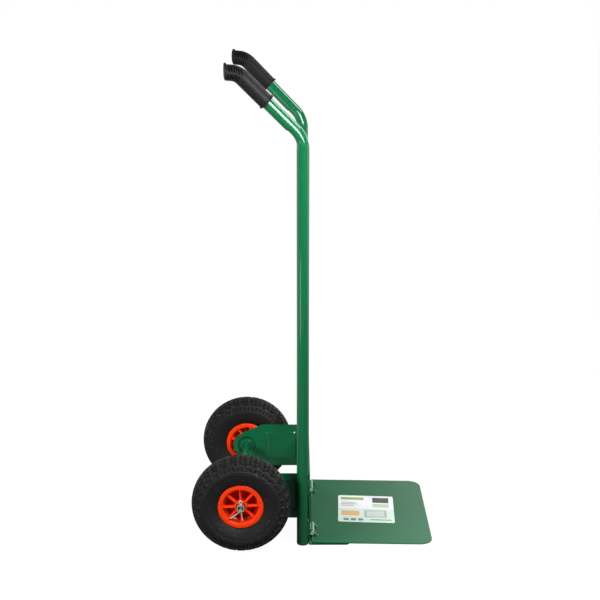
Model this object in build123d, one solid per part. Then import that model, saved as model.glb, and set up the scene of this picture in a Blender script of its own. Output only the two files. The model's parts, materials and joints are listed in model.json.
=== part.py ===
"""Two-wheel hand truck with a folding toe plate.

Millimetres. +X points forwards over the toe plate, +Y to the truck's left, +Z up. The origin is on the
floor, at the middle of the truck's outline. Left pieces are modelled, and right ones are mirrored.
"""
from build123d import *

import os
from math import acos, asin, atan2, cos, degrees, hypot, radians, sin

# Wheels, a 3.00-4 pneumatic size, and where they stand
TYRE_R = 130.0
TYRE_HALF_W = 40.0
TRACK_HALF = 221.0
AXLE_BACK = 162.0
AXLE_Z = TYRE_R

# Tyre section: bead, sidewall and crown
BEAD_R = 51.0
BEAD_HALF_W = 24.2
BEAD_TOE_HALF_W = 17.0
BEAD_TOP_R = 61.6
SIDEWALL_FOOT_HALF_W = 28.0
SIDEWALL_R = 97.0
SHOULDER_R = 121.0
SHOULDER_HALF_W = 34.0
TYRE_WALL = 6.5
CROWN_WALL = 8.0

# Tread: zigzag grooves round the crown and pits in the shoulders, by reach from the middle of the crown
TREAD_PITCHES = 30
GROOVE_LINES = (-2, -1, 0, 1, 2)
GROOVE_SPACING = 16.0
GROOVE_SWING = 5.0
GROOVE_W = 2.6
GROOVE_DEPTH = 3.2
CROWN_STEPS = (9.0, 18.0, 27.0)
PIT_STEPS = (42.0, 53.0)
PIT_L = 9.8
PIT_HALF_W = 6.9
PIT_DEPTH = 1.2
PIT_SLOT_W = 2.4
PIT_SLOT_DEPTH = 3.0
CUTTER_RISE = 4.0

# Inner tube
TUBE_RING_R = 90.0
TUBE_SECTION_R = 28.0
TUBE_WALL = 1.5

# Rim: lip, bead seat, well, web, hub and ribs
RIM_HALF_W = 29.0
LIP_R = 61.0
LIP_INNER_R = 48.0
LIP_THICKNESS = 4.5
LIP_ROUND = 2.0
SEAT_R = 50.8
WELL_R = 43.0
WELL_HALF_W = 9.0
RIM_WALL = 4.6
WEB_HALF_T = 2.5
HUB_R = 15.8
HUB_BORE_R = 12.0
RIB_COUNT = 8
RIB_T = 4.0
RIB_HALF_W = 26.0
WHEEL_TURN = {"right": 2.5, "left": 32.0}

# Bushes and valve
BUSH_LENGTH = 18.0
RUNNING_FIT = 0.05
PRESS_GAP = 0.02
VALVE_OFFSET = -8.0
VALVE_R = 4.0
VALVE_BORE_R = 1.2
VALVE_INNER_END_R = 64.5
VALVE_OUTER_END_R = 24.0
CAP_R = 5.2
CAP_LENGTH = 7.0
CAP_OVERLAP = 5.0

# Axle, spacers and split pins
AXLE_R = 10.0
AXLE_BORE_R = 7.25
AXLE_HALF_L = 259.0
SPACER_R = 13.0
SPACER_PLAY = 0.4
PIN_STATION = 253.0
PIN_HOLE_R = 2.8
PIN_WIRE_R = 1.3
PIN_LEG_GAP = 0.1
PIN_EYE_HALF_W = 3.8
PIN_EYE_FOOT = 14.0
PIN_EYE_TOP = 19.4
PIN_LEG_START = 11.3
PIN_LEGS = ((31.5, 216.0), (25.0, 278.5))

# Uprights and handles
UPRIGHT_HALF = 194.0
UPRIGHT_R = 16.0
UPRIGHT_WALL = 2.0
BEND_Z = 1084.5
BEND_RADIUS = 70.0
HANDLE_RISE = 45.0
HANDLE_RUN = 224.0
HANDLE_SPLAY = 8.0
GRIP_RISE = 4.0
GRIP_BEND_RADIUS = 43.0
TUBE_END_RUN = 20.0

# Rungs between the uprights
RUNG_R = 12.5
RUNG_WALL = 1.5
RUNG_Z = {"lower": 270.0, "middle": 640.0, "upper": 1010.0}

# Grips
GRIP_START = 124.0
GRIP_R = 19.5
GRIP_CLEAR = 0.05
GRIP_RING_R = 21.5
GRIP_RING_W = 5.0
GRIP_FACE_BACK = 191.0
GRIP_DISC_T = 5.5
GRIP_DISC_R = 20.5
GRIP_DISC_LIFT = 2.5
GRIP_TRIM_RUN = 80.0

# Wheel brackets
SHEET = 3.0
BRACKET_HALF_H = 63.5
BRACKET_SHOULDER = 46.0
NOSE_R = 39.0
BRACKET_FRONT_GAP = 0.3
PANEL_DEPTH = 3.0
PANEL_BACK = 55.0
PANEL_BACK_MID = 62.0
PANEL_FRONT = 145.0
PANEL_HALF_H = 41.0
PANEL_CORNER = 8.0
BOSS_R = 27.0
BOSS_DEPTH = 6.0

# Toe base and toe plate
TOE_HALF_W = 205.0
FLANGE_H = 200.0
LEG_REACH = 125.0
TOE_BEND_R = 4.0
TOE_CORNER = 12.0
PLATE_REACH = 348.0
PLATE_T = 3.0
PLATE_REAR = -1.0
PLATE_FRONT_CORNER = 36.0
PLATE_REAR_CORNER = 6.0
PLATE_EDGE_ROUND = 0.8

# Hinges between the flange and the toe plate
BARREL_R = 6.5
BARREL_L = 48.0
HINGE_Z = 16.5
HINGE_STATION = 140.0
AXIS_ABOVE_PLATE = 8.0
HINGE_PIN_R = 4.0
HINGE_PIN_HEAD_R = 5.5
HINGE_PIN_HEAD_T = 2.0
BARREL_FOOT_HALF_H = 4.5
LUG_T = 3.0
LUG_R = 6.0
LUG_TIP = 15.5
LUG_HEEL_ANGLE = 22.5
LUG_GAP = 0.4

# Places that follow from the sizes above
UPRIGHT_X = (AXLE_BACK + TYRE_R - PLATE_REACH) / 2
AXLE_X = UPRIGHT_X - AXLE_BACK
FLANGE_X = UPRIGHT_X + UPRIGHT_R
HINGE_X = FLANGE_X + SHEET + BARREL_R
PLATE_LENGTH = UPRIGHT_X + PLATE_REACH - HINGE_X
BRACKET_Y = UPRIGHT_HALF - UPRIGHT_R
BOSS_Y = BRACKET_Y + BOSS_DEPTH
HUB_INNER_Y = TRACK_HALF - RIM_HALF_W
PIN_LEG_X = PIN_WIRE_R + PIN_LEG_GAP / 2
CROWN_DROP = TYRE_R - SHOULDER_R
CROWN_R = (SHOULDER_HALF_W**2 + CROWN_DROP**2) / (2 * CROWN_DROP)
SHOULDER_REACH = CROWN_R * asin(SHOULDER_HALF_W / CROWN_R)
TREAD_PITCH = 360 / TREAD_PITCHES

# The toe plate slopes until its front edge meets the floor
UNDERSIDE = AXIS_ABOVE_PLATE + PLATE_T
PLATE_SLOPE = degrees(asin(HINGE_Z / hypot(PLATE_LENGTH, UNDERSIDE)) - atan2(UNDERSIDE, PLATE_LENGTH))


def polar(length, angle):
    """A step in the X-Z plane, at an angle from +X towards +Z."""
    return Vector(length * cos(radians(angle)), 0, length * sin(radians(angle)))


def round_bar(radius, low, high, inner=0.0):
    """A bar or tube along Y, from one Y to another."""
    section = Circle(radius)
    if inner:
        section -= Circle(inner)
    return extrude(Plane((0, low, 0), x_dir=(1, 0, 0), z_dir=(0, 1, 0)) * section, high - low)


def swept(path, radius, inner=0.0):
    """A round section carried along a path of straight runs and tangent arcs."""
    section = Circle(radius)
    if inner:
        section -= Circle(inner)
    return sweep(Plane(origin=path @ 0, z_dir=path % 0) * section, path=path)


def turned(*edges):
    """A closed outline of radius against axial place, turned about the Y axis."""
    return revolve(make_face(edges), axis=Axis.Y)


def right_of(piece):
    """The same piece on the truck's other side."""
    return mirror(piece, about=Plane.XZ)


# Uprights and grips

FOOT = Vector(UPRIGHT_X, UPRIGHT_HALF, 0)
HANDLE_CORNER = Vector(UPRIGHT_X, UPRIGHT_HALF, BEND_Z)
HANDLE_STEP = polar(1, 180 - HANDLE_RISE)
GRIP_STEP = polar(1, 180 - GRIP_RISE)
GRIP_CORNER = HANDLE_CORNER + HANDLE_STEP * HANDLE_RUN
GRIP_LOW_END = HANDLE_CORNER + HANDLE_STEP * GRIP_START


def splayed(piece):
    """A left piece turned outwards about the upright's own axis."""
    return Pos(UPRIGHT_X, UPRIGHT_HALF) * Rot(0, 0, -HANDLE_SPLAY) * Pos(-UPRIGHT_X, -UPRIGHT_HALF) * piece


def grip_path(run):
    """The grip's middle line, from its lower end to a run past the second bend."""
    return FilletPolyline(GRIP_LOW_END, GRIP_CORNER, GRIP_CORNER + GRIP_STEP * run, radius=GRIP_BEND_RADIUS)


def upright():
    path = FilletPolyline(
        FOOT,
        HANDLE_CORNER,
        GRIP_CORNER,
        GRIP_CORNER + GRIP_STEP * TUBE_END_RUN,
        radius=[BEND_RADIUS, GRIP_BEND_RADIUS],
    )
    return splayed(swept(path, UPRIGHT_R, UPRIGHT_R - UPRIGHT_WALL))


def grip():
    """A sleeve with a ring at its lower end and an upright disc that closes the other."""
    face_x = UPRIGHT_X - GRIP_FACE_BACK
    sleeve = swept(grip_path(GRIP_TRIM_RUN), GRIP_R)
    ring_plane = Plane(origin=GRIP_LOW_END, z_dir=HANDLE_STEP)
    sleeve += extrude(ring_plane * Circle(GRIP_RING_R), GRIP_RING_W)
    sleeve -= swept(grip_path(GRIP_TRIM_RUN), UPRIGHT_R + GRIP_CLEAR)
    trim_x = face_x + GRIP_DISC_T
    behind = Pos(trim_x - GRIP_TRIM_RUN / 2, UPRIGHT_HALF, GRIP_CORNER.Z)
    sleeve -= behind * Box(GRIP_TRIM_RUN, 4 * GRIP_R, 4 * GRIP_TRIM_RUN)
    end_z = (GRIP_CORNER + GRIP_STEP * ((GRIP_CORNER.X - face_x) / -GRIP_STEP.X)).Z
    disc_plane = Plane((face_x, UPRIGHT_HALF, end_z + GRIP_DISC_LIFT), z_dir=(1, 0, 0))
    disc = extrude(disc_plane * Circle(GRIP_DISC_R), GRIP_DISC_T)
    return splayed(sleeve + disc)


def rung(height):
    """A cross tube whose ends are coped to fit round the uprights."""
    bar = Pos(UPRIGHT_X, 0, height) * round_bar(RUNG_R, -UPRIGHT_HALF, UPRIGHT_HALF, RUNG_R - RUNG_WALL)
    for side in (-1, 1):
        bar -= Pos(UPRIGHT_X, side * UPRIGHT_HALF, height) * Cylinder(UPRIGHT_R, 4 * RUNG_R)
    return bar


# Wheel brackets, axle, spacers and split pins


def wheel_bracket():
    """A pressed plate: straight at the upright, running in to a round nose about the axle.

    The outline is drawn about the axle. Depth runs inwards from the plate's outer face.
    """
    front = AXLE_BACK + UPRIGHT_R - BRACKET_FRONT_GAP
    corner = hypot(BRACKET_SHOULDER, BRACKET_HALF_H)
    touch = atan2(BRACKET_HALF_H, BRACKET_SHOULDER) + acos(NOSE_R / corner)
    touch_x = NOSE_R * cos(touch)
    touch_y = NOSE_R * sin(touch)
    outline = make_face(
        [
            *Polyline(
                (touch_x, touch_y),
                (BRACKET_SHOULDER, BRACKET_HALF_H),
                (front, BRACKET_HALF_H),
                (front, -BRACKET_HALF_H),
                (BRACKET_SHOULDER, -BRACKET_HALF_H),
                (touch_x, -touch_y),
            ).edges(),
            ThreePointArc((touch_x, -touch_y), (-NOSE_R, 0), (touch_x, touch_y)),
        ]
    )
    panel = make_face(
        [
            *Polyline(
                (PANEL_BACK, PANEL_HALF_H),
                (PANEL_FRONT, PANEL_HALF_H),
                (PANEL_FRONT, -PANEL_HALF_H),
                (PANEL_BACK, -PANEL_HALF_H),
            ).edges(),
            ThreePointArc((PANEL_BACK, -PANEL_HALF_H), (PANEL_BACK_MID, 0), (PANEL_BACK, PANEL_HALF_H)),
        ]
    )
    panel = fillet(panel.vertices(), PANEL_CORNER)
    panel_hollow = offset(panel, -SHEET / 2)
    plate = extrude(outline, SHEET)
    plate += Pos(0, 0, SHEET) * extrude(panel, PANEL_DEPTH)
    plate -= extrude(panel_hollow, PANEL_DEPTH)
    plate += Pos(0, 0, -BOSS_DEPTH) * extrude(Circle(BOSS_R), BOSS_DEPTH)
    plate -= Pos(0, 0, SHEET - BOSS_DEPTH) * extrude(Circle(BOSS_R - SHEET), BOSS_DEPTH)
    plate -= Pos(0, 0, -BOSS_DEPTH) * extrude(Circle(AXLE_R + PRESS_GAP), BOSS_DEPTH + SHEET)
    return Plane((AXLE_X, BRACKET_Y, AXLE_Z), x_dir=(1, 0, 0), z_dir=(0, -1, 0)) * plate


def axle_tube():
    tube = round_bar(AXLE_R, -AXLE_HALF_L, AXLE_HALF_L, AXLE_BORE_R)
    for side in (-1, 1):
        tube -= Pos(0, side * PIN_STATION, 0) * Cylinder(PIN_HOLE_R, 4 * AXLE_R)
    return Pos(AXLE_X, 0, AXLE_Z) * tube


def axle_spacer():
    sleeve = round_bar(SPACER_R, BOSS_Y, HUB_INNER_Y - SPACER_PLAY, AXLE_R + PRESS_GAP)
    return Pos(AXLE_X, 0, AXLE_Z) * sleeve


def split_pin():
    """One wire: up through the axle, round the eye, down again, with both legs bent apart below."""
    (back_run, back_angle), (front_run, front_angle) = PIN_LEGS
    back_foot = Vector(-PIN_LEG_X, 0, -PIN_LEG_START)
    front_foot = Vector(PIN_LEG_X, 0, -PIN_LEG_START)
    route = [
        back_foot + polar(back_run, back_angle),
        back_foot,
        Vector(-PIN_LEG_X, 0, PIN_LEG_START),
        Vector(-PIN_EYE_HALF_W, 0, PIN_EYE_FOOT),
        Vector(-PIN_EYE_HALF_W, 0, PIN_EYE_TOP),
        Vector(PIN_EYE_HALF_W, 0, PIN_EYE_TOP),
        Vector(PIN_EYE_HALF_W, 0, PIN_EYE_FOOT),
        Vector(PIN_LEG_X, 0, PIN_LEG_START),
        front_foot,
        front_foot + polar(front_run, front_angle),
    ]
    leg_bend = 3 * PIN_WIRE_R
    eye_bend = PIN_EYE_HALF_W - 0.2 * PIN_WIRE_R
    neck_bend = 1.5 * PIN_WIRE_R
    bends = [leg_bend, neck_bend, neck_bend, eye_bend, eye_bend, neck_bend, neck_bend, leg_bend]
    wire = swept(FilletPolyline(*route, radius=bends), PIN_WIRE_R)
    return Pos(AXLE_X, PIN_STATION, AXLE_Z) * wire


# Wheel pieces, about the axle at the wheel's middle, with +Y outwards


SHOULDER = (SHOULDER_R, SHOULDER_HALF_W)
TYRE_SIDE = (SIDEWALL_R, TYRE_HALF_W)
TYRE_FOOT = (BEAD_TOP_R, SIDEWALL_FOOT_HALF_W)


def tread_point(reach):
    """A place on the tyre's outer outline, by its distance along it from the middle of the crown."""
    if reach < SHOULDER_REACH:
        angle = reach / CROWN_R
        return (TYRE_R - CROWN_R + CROWN_R * cos(angle), CROWN_R * sin(angle))
    wall = ThreePointArc(SHOULDER, TYRE_SIDE, TYRE_FOOT)
    place = wall @ ((reach - SHOULDER_REACH) / wall.length)
    return (place.X, place.Y)


def groove_run(line):
    """A straight run of a zigzag groove, between the two wheel planes where the next runs start."""
    half_pitch = radians(TREAD_PITCH / 2) * TYRE_R
    lean = degrees(atan2(2 * GROOVE_SWING, half_pitch))
    height = GROOVE_DEPTH + CUTTER_RISE
    bar = Pos(0, 0, CUTTER_RISE - height / 2) * Box(2 * half_pitch, GROOVE_W, height)
    tip = degrees(line * GROOVE_SPACING / CROWN_R)
    place = Pos(TYRE_R - CROWN_R, 0, 0) * Rot(0, 0, tip) * Pos(CROWN_R, 0, 0) * Rot(0, 90, 0)
    far = polar(2 * TYRE_R, TREAD_PITCH / 4)
    slice_face = make_face(Polyline((0, 0), (far.X, far.Z), (far.X, -far.Z), close=True))
    return place * Rot(0, 0, lean) * bar & extrude(Plane.XZ * slice_face, TYRE_HALF_W, both=True)


def shoulder_pit():
    """A shallow pit in the outer shoulder, with a deeper slot along each of its sides."""
    near, far = (Vector(*tread_point(reach)) for reach in PIT_STEPS)
    slot_near = PIT_HALF_W - PIT_SLOT_W / 2
    slot_far = PIT_HALF_W + PIT_SLOT_W / 2
    half = [
        (slot_near, -PIT_DEPTH),
        (slot_near, -PIT_SLOT_DEPTH),
        (slot_far, -PIT_SLOT_DEPTH),
        (slot_far, CUTTER_RISE),
    ]
    section = make_face(Polyline(*half, *[(-x, y) for x, y in reversed(half)], close=True))
    plane = Plane(origin=(near + far) / 2, x_dir=(0, 0, 1), z_dir=far - near)
    return extrude(plane * section, PIT_L / 2, both=True)


def tread_cutters():
    """Every groove run and pit. Runs zigzag, and pits lie where the outer groove is nearest the crown."""
    runs = [groove_run(line) for line in GROOVE_LINES]
    outer_pit = shoulder_pit()
    inner_pit = right_of(outer_pit)
    cutters = []
    for step in range(TREAD_PITCHES):
        pitch = [Rot(0, -TREAD_PITCH * (step + part / 4), 0) for part in range(4)]
        for run in runs:
            cutters += [pitch[1] * run, pitch[3] * mirror(run, about=Plane.XY)]
        cutters += [pitch[0] * inner_pit, pitch[2] * outer_pit]
    return cutters


def tyre():
    """A turned casing with a block tread. Cones between the grooves make up its crown and shoulders."""
    inner_crown = TYRE_R - CROWN_WALL
    inner_side = TYRE_HALF_W - TYRE_WALL
    inner_shoulder = (SHOULDER_R - TYRE_WALL, SHOULDER_HALF_W - TYRE_WALL)
    toe = (BEAD_TOP_R - TYRE_WALL / 2, BEAD_TOE_HALF_W)
    half_tread = [tread_point(reach) for reach in (*CROWN_STEPS, SHOULDER_REACH, *PIT_STEPS)]
    wall_top = half_tread[-1]

    def other(point):
        return (point[0], -point[1])

    bead = [(BEAD_R, BEAD_HALF_W), (BEAD_TOP_R, BEAD_HALF_W)]
    casing = turned(
        *Polyline(*[other(point) for point in reversed(half_tread)], (TYRE_R, 0), *half_tread).edges(),
        ThreePointArc(wall_top, TYRE_SIDE, TYRE_FOOT),
        *Polyline(TYRE_FOOT, bead[1], bead[0], (BEAD_R, BEAD_TOE_HALF_W), toe).edges(),
        ThreePointArc(toe, (SIDEWALL_R, inner_side), inner_shoulder),
        ThreePointArc(inner_shoulder, (inner_crown, 0), other(inner_shoulder)),
        ThreePointArc(other(inner_shoulder), (SIDEWALL_R, -inner_side), other(toe)),
        *Polyline(
            other(toe), (BEAD_R, -BEAD_TOE_HALF_W), other(bead[0]), other(bead[1]), other(TYRE_FOOT)
        ).edges(),
        ThreePointArc(other(TYRE_FOOT), other(TYRE_SIDE), other(wall_top)),
    )
    return casing - tread_cutters()


def valve_place(turn):
    """The valve comes out of the well half way between two ribs."""
    return Rot(0, -turn - 180 / RIB_COUNT - 360 / RIB_COUNT, 0) * Pos(0, VALVE_OFFSET, 0)


def radial_bar(radius, low, high, inner=0.0):
    """A bar or tube along +X, the wheel's radius, from one radius to another."""
    section = Circle(radius)
    if inner:
        section -= Circle(inner)
    return extrude(Plane((low, 0, 0), z_dir=(1, 0, 0)) * section, high - low)


def inner_tube(turn):
    section = Circle(TUBE_SECTION_R) - Circle(TUBE_SECTION_R - TUBE_WALL)
    ring = revolve(Pos(TUBE_RING_R, 0) * section, axis=Axis.Y)
    hole = radial_bar(VALVE_R + PRESS_GAP, SEAT_R, TUBE_RING_R)
    return ring - valve_place(turn) * hole


def rim(turn):
    """A moulded rim: two lips, two bead seats, a well between, and ribs from the hub on both faces."""
    seat_half_w = WELL_HALF_W + (SEAT_R - WELL_R) * 0.7
    lip_back = RIM_HALF_W - LIP_THICKNESS
    well_inner = WELL_R - RIM_WALL
    seat_inner = SEAT_R - RIM_WALL
    half = [
        (HUB_BORE_R, RIM_HALF_W),
        (HUB_R, RIM_HALF_W),
        (HUB_R, WEB_HALF_T),
        (well_inner, WEB_HALF_T),
        (well_inner, WELL_HALF_W),
        (seat_inner, seat_half_w),
        (seat_inner, lip_back - LIP_ROUND),
        (LIP_INNER_R, RIM_HALF_W),
        (LIP_R, RIM_HALF_W),
        (LIP_R, lip_back),
        (SEAT_R, lip_back),
        (SEAT_R, seat_half_w),
        (WELL_R, WELL_HALF_W),
    ]
    outline = half + [(radius, -place) for radius, place in reversed(half)]
    section = make_face(Polyline(*outline, close=True))
    lip_corners = [
        corner
        for corner in section.vertices()
        if abs(abs(corner.Y) - RIM_HALF_W) < PRESS_GAP and corner.X > HUB_R + RIM_WALL
    ]
    body = revolve(fillet(lip_corners, LIP_ROUND), axis=Axis.Y)
    rib_root = (HUB_BORE_R + HUB_R) / 2
    rib_well = WELL_R - RIM_WALL / 2
    rib_seat = SEAT_R - RIM_WALL / 2
    rib_half = [(rib_root, RIB_HALF_W), (rib_seat, RIB_HALF_W), (rib_seat, seat_half_w), (rib_well, WELL_HALF_W)]
    rib_outline = rib_half + [(radius, -place) for radius, place in reversed(rib_half)]
    rib = extrude(make_face(Polyline(*rib_outline, close=True)), RIB_T / 2, both=True)
    for step in range(RIB_COUNT):
        body += Rot(0, -turn - step * 360 / RIB_COUNT, 0) * rib
    return body - valve_place(turn) * radial_bar(VALVE_R + PRESS_GAP, HUB_R, SEAT_R + RIM_WALL)


def bush(outward):
    """A plain bearing pressed into one end of the hub."""
    end = outward * RIM_HALF_W
    low, high = sorted((end, end - outward * BUSH_LENGTH))
    return round_bar(HUB_BORE_R - PRESS_GAP, low, high, AXLE_R + RUNNING_FIT)


def valve_stem(turn):
    return valve_place(turn) * radial_bar(VALVE_R, VALVE_OUTER_END_R, VALVE_INNER_END_R, VALVE_BORE_R)


def valve_cap(turn):
    """A cap, closed towards the hub, over the stem's outer end."""
    low = VALVE_OUTER_END_R + CAP_OVERLAP - CAP_LENGTH
    cap = radial_bar(CAP_R, low, low + CAP_LENGTH)
    cap -= radial_bar(VALVE_R + PRESS_GAP, VALVE_OUTER_END_R, VALVE_OUTER_END_R + CAP_LENGTH)
    return valve_place(turn) * cap


def wheel_pieces(turn, tyre_piece):
    """The pieces of a left wheel, in place on the axle."""
    pieces = {
        "tyre": tyre_piece,
        "inner_tube": inner_tube(turn),
        "rim": rim(turn),
        "outer_bush": bush(1),
        "inner_bush": bush(-1),
        "valve_stem": valve_stem(turn),
        "valve_cap": valve_cap(turn),
    }
    place = Pos(AXLE_X, TRACK_HALF, AXLE_Z)
    return {name: place * piece for name, piece in pieces.items()}


# Toe base, toe plate and hinges


def toe_base():
    """A bent sheet: a tall flange against the uprights and a short leg along the floor."""
    section = FilletPolyline(
        (FLANGE_X, FLANGE_H),
        (FLANGE_X, 0),
        (UPRIGHT_X + LEG_REACH, 0),
        (UPRIGHT_X + LEG_REACH, SHEET),
        (FLANGE_X + SHEET, SHEET),
        (FLANGE_X + SHEET, FLANGE_H),
        radius=[0, TOE_BEND_R, 0, 0, TOE_BEND_R - SHEET, 0],
        close=True,
    )
    sheet = extrude(Plane.XZ * make_face(section), TOE_HALF_W, both=True)
    flange_corners = sheet.edges().filter_by(Axis.X).filter_by_position(Axis.Z, FLANGE_H - 1, FLANGE_H + 1)
    leg_end = UPRIGHT_X + LEG_REACH
    leg_corners = sheet.edges().filter_by(Axis.Z).filter_by_position(Axis.X, leg_end - 1, leg_end + 1)
    return fillet(flange_corners + leg_corners, TOE_CORNER)


def on_hinge(piece, slope=0.0, station=0.0):
    """Set a piece that is drawn about the hinge axis in its place, tipped down to the front."""
    return Pos(HINGE_X, station, HINGE_Z) * Rot(0, slope, 0) * piece


def toe_plate():
    width = 2 * TOE_HALF_W
    length = PLATE_LENGTH - PLATE_REAR
    outline = Pos((PLATE_LENGTH + PLATE_REAR) / 2, 0) * Rectangle(length, width)
    middle = PLATE_LENGTH / 2
    outline = fillet([v for v in outline.vertices() if v.X > middle], PLATE_FRONT_CORNER)
    outline = fillet([v for v in outline.vertices() if v.X < PLATE_REAR + 1], PLATE_REAR_CORNER)
    sheet = Pos(0, 0, -UNDERSIDE) * extrude(outline, PLATE_T)
    rims = sheet.faces().filter_by(Axis.Z).edges()
    return on_hinge(fillet(rims, PLATE_EDGE_ROUND), PLATE_SLOPE)


def hinge_barrel():
    """A short tube with a foot that meets the flange."""
    half = BARREL_L / 2
    barrel = round_bar(BARREL_R, -half, half)
    barrel += Pos(-BARREL_R / 2, 0, 0) * Box(BARREL_R, BARREL_L, 2 * BARREL_FOOT_HALF_H)
    barrel -= round_bar(HINGE_PIN_R + RUNNING_FIT, -half, half)
    return on_hinge(barrel, station=HINGE_STATION)


def hinge_lugs():
    """Two ears that stand on the plate, one at each end of the barrel."""
    tip = Vector(LUG_TIP, -AXIS_ABOVE_PLATE)
    spread = acos(LUG_R / tip.length)
    heading = atan2(tip.Y, tip.X)
    top = (LUG_R * cos(heading + spread), LUG_R * sin(heading + spread))
    heel = (-LUG_R * cos(radians(LUG_HEEL_ANGLE)), -LUG_R * sin(radians(LUG_HEEL_ANGLE)))
    foot = Polyline(top, (tip.X, tip.Y), (PLATE_REAR, -AXIS_ABOVE_PLATE), heel, close=True)
    profile = make_face(foot) + Circle(LUG_R) - Circle(HINGE_PIN_R + PRESS_GAP)
    ear = extrude(Plane.XZ * profile, LUG_T / 2, both=True)
    offset_y = (BARREL_L + LUG_T) / 2 + LUG_GAP
    ears = Pos(0, -offset_y, 0) * ear + Pos(0, offset_y, 0) * ear
    return on_hinge(ears, PLATE_SLOPE, HINGE_STATION)


def hinge_pin():
    half = BARREL_L / 2 + LUG_GAP + LUG_T
    pin = round_bar(HINGE_PIN_R, -half, half)
    pin += round_bar(HINGE_PIN_HEAD_R, half, half + HINGE_PIN_HEAD_T)
    pin += round_bar(HINGE_PIN_HEAD_R, -half - HINGE_PIN_HEAD_T, -half)
    return on_hinge(pin, station=HINGE_STATION)


def all_pieces():
    """Every piece by its node name."""
    pieces = {f"{name}_cross_tube": rung(height) for name, height in RUNG_Z.items()}
    pieces["axle_tube"] = axle_tube()
    pieces["toe_base"] = toe_base()
    pieces["toe_plate"] = toe_plate()
    pairs = {
        "upright": upright(),
        "grip": grip(),
        "wheel_bracket": wheel_bracket(),
        "axle_spacer": axle_spacer(),
        "split_pin": split_pin(),
        "hinge_barrel": hinge_barrel(),
        "hinge_lugs": hinge_lugs(),
        "hinge_pin": hinge_pin(),
    }
    for name, piece in pairs.items():
        pieces[f"left_{name}"] = piece
        pieces[f"right_{name}"] = right_of(piece)
    tyre_piece = tyre()
    for name, piece in wheel_pieces(WHEEL_TURN["left"], tyre_piece).items():
        pieces[f"left_{name}"] = piece
    for name, piece in wheel_pieces(WHEEL_TURN["right"], tyre_piece).items():
        pieces[f"right_{name}"] = right_of(piece)
    return pieces


os.makedirs("parts", exist_ok=True)
for node, shape in all_pieces().items():
    export_step(shape, f"parts/{node}.step")
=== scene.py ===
# %% [markdown]
# # A two-wheel hand truck, dressed for the camera
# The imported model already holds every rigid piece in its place, in metres. This lesson adds what plain
# solids leave out: tread blocks, pressed panels, moulded grips, weld beads and real finishes. A new
# surface is worked out with numpy as a grid of points, and it rides on the body that carries it.

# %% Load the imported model
import json

import bpy
import numpy as np
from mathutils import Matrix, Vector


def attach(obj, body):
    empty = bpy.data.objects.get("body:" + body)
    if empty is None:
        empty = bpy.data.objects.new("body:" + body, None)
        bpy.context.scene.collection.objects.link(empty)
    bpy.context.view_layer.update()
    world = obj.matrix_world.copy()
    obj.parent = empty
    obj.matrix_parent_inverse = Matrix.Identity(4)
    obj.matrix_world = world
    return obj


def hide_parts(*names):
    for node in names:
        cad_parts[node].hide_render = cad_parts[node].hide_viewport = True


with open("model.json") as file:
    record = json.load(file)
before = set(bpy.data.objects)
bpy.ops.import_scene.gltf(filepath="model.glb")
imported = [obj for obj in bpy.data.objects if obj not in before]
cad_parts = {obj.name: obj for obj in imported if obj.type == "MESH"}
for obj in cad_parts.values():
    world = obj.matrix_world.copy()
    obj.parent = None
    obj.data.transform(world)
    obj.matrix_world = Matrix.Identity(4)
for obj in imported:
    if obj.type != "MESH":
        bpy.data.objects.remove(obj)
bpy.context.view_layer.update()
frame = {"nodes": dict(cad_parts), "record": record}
scene = bpy.context.scene

# %% [markdown]
# ## Camera
# A product photographer stands back and uses a long lens, so that near and far pieces keep nearly the
# same size. Three numbers could be tried by eye, but here they come from a fit of known points: the
# lens sees 27 degrees, stands 3.2 m to the right of the truck at eye height, and looks down 15.6 degrees.

# %% Set the camera
LOOK_DOWN = 0.2722
LOOK_ASIDE = 0.003
FRAME_PIXELS = 600
FOCAL_PIXELS = 1244.763
SENSOR_MM = 36.0

camera = bpy.data.objects.new("camera", bpy.data.cameras.new("camera"))
camera.data.sensor_width = SENSOR_MM
camera.data.lens = FOCAL_PIXELS * SENSOR_MM / FRAME_PIXELS
camera.location = (-0.0445, -3.2237, 1.5201)
camera.rotation_euler = (np.pi / 2 - LOOK_DOWN, 0, -LOOK_ASIDE)
scene.collection.objects.link(camera)
scene.camera = camera
scene.view_settings.view_transform = "Standard"
print("lens", round(camera.data.lens, 2), "mm")

# %% [markdown]
# ## Colours and nodes
# Colours are written as they look on a screen, in sRGB hex, while shaders work with linear light, so one
# function converts. A material is a small graph of nodes. Wiring each node by hand takes three lines, so
# one helper adds a node, gives it its settings and fills its sockets with values or links.

# %% Colours


def linear(colour):
    """Linear red, green, blue and alpha of an sRGB hex colour.

    Each channel c becomes c / 12.92 when it is very dark, and ((c + 0.055) / 1.055) to the power 2.4 above.
    """
    c = np.array([int(colour[i : i + 2], 16) for i in (1, 3, 5)]) / 255
    return (*np.where(c <= 0.04045, c / 12.92, ((c + 0.055) / 1.055) ** 2.4), 1.0)


WHITE = linear("#FFFFFF")
print("half way on a screen is", round(linear("#808080")[0], 3), "in linear light")

# %% Nodes


def add_node(owner, kind, sockets=(), **settings):
    """Add a shader node to a material or world, with settings, and values or links for its sockets.

    A dictionary gives sockets by name or number, and a tuple gives the first ones in their own order.
    """
    made = owner.node_tree.nodes.new("ShaderNode" + kind)
    for name, value in settings.items():
        setattr(made, name, value)
    for socket, value in sockets.items() if isinstance(sockets, dict) else enumerate(sockets):
        if isinstance(value, bpy.types.NodeSocket):
            owner.node_tree.links.new(value, made.inputs[socket])
        else:
            made.inputs[socket].default_value = value
    return made


def blank(owner):
    """Clear the nodes of a material or world, so that every node in it is one of ours."""
    owner.use_nodes = True
    owner.node_tree.nodes.clear()
    return owner


def new_finish(name):
    """A new material with no nodes in it yet."""
    return blank(bpy.data.materials.new(name))


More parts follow.
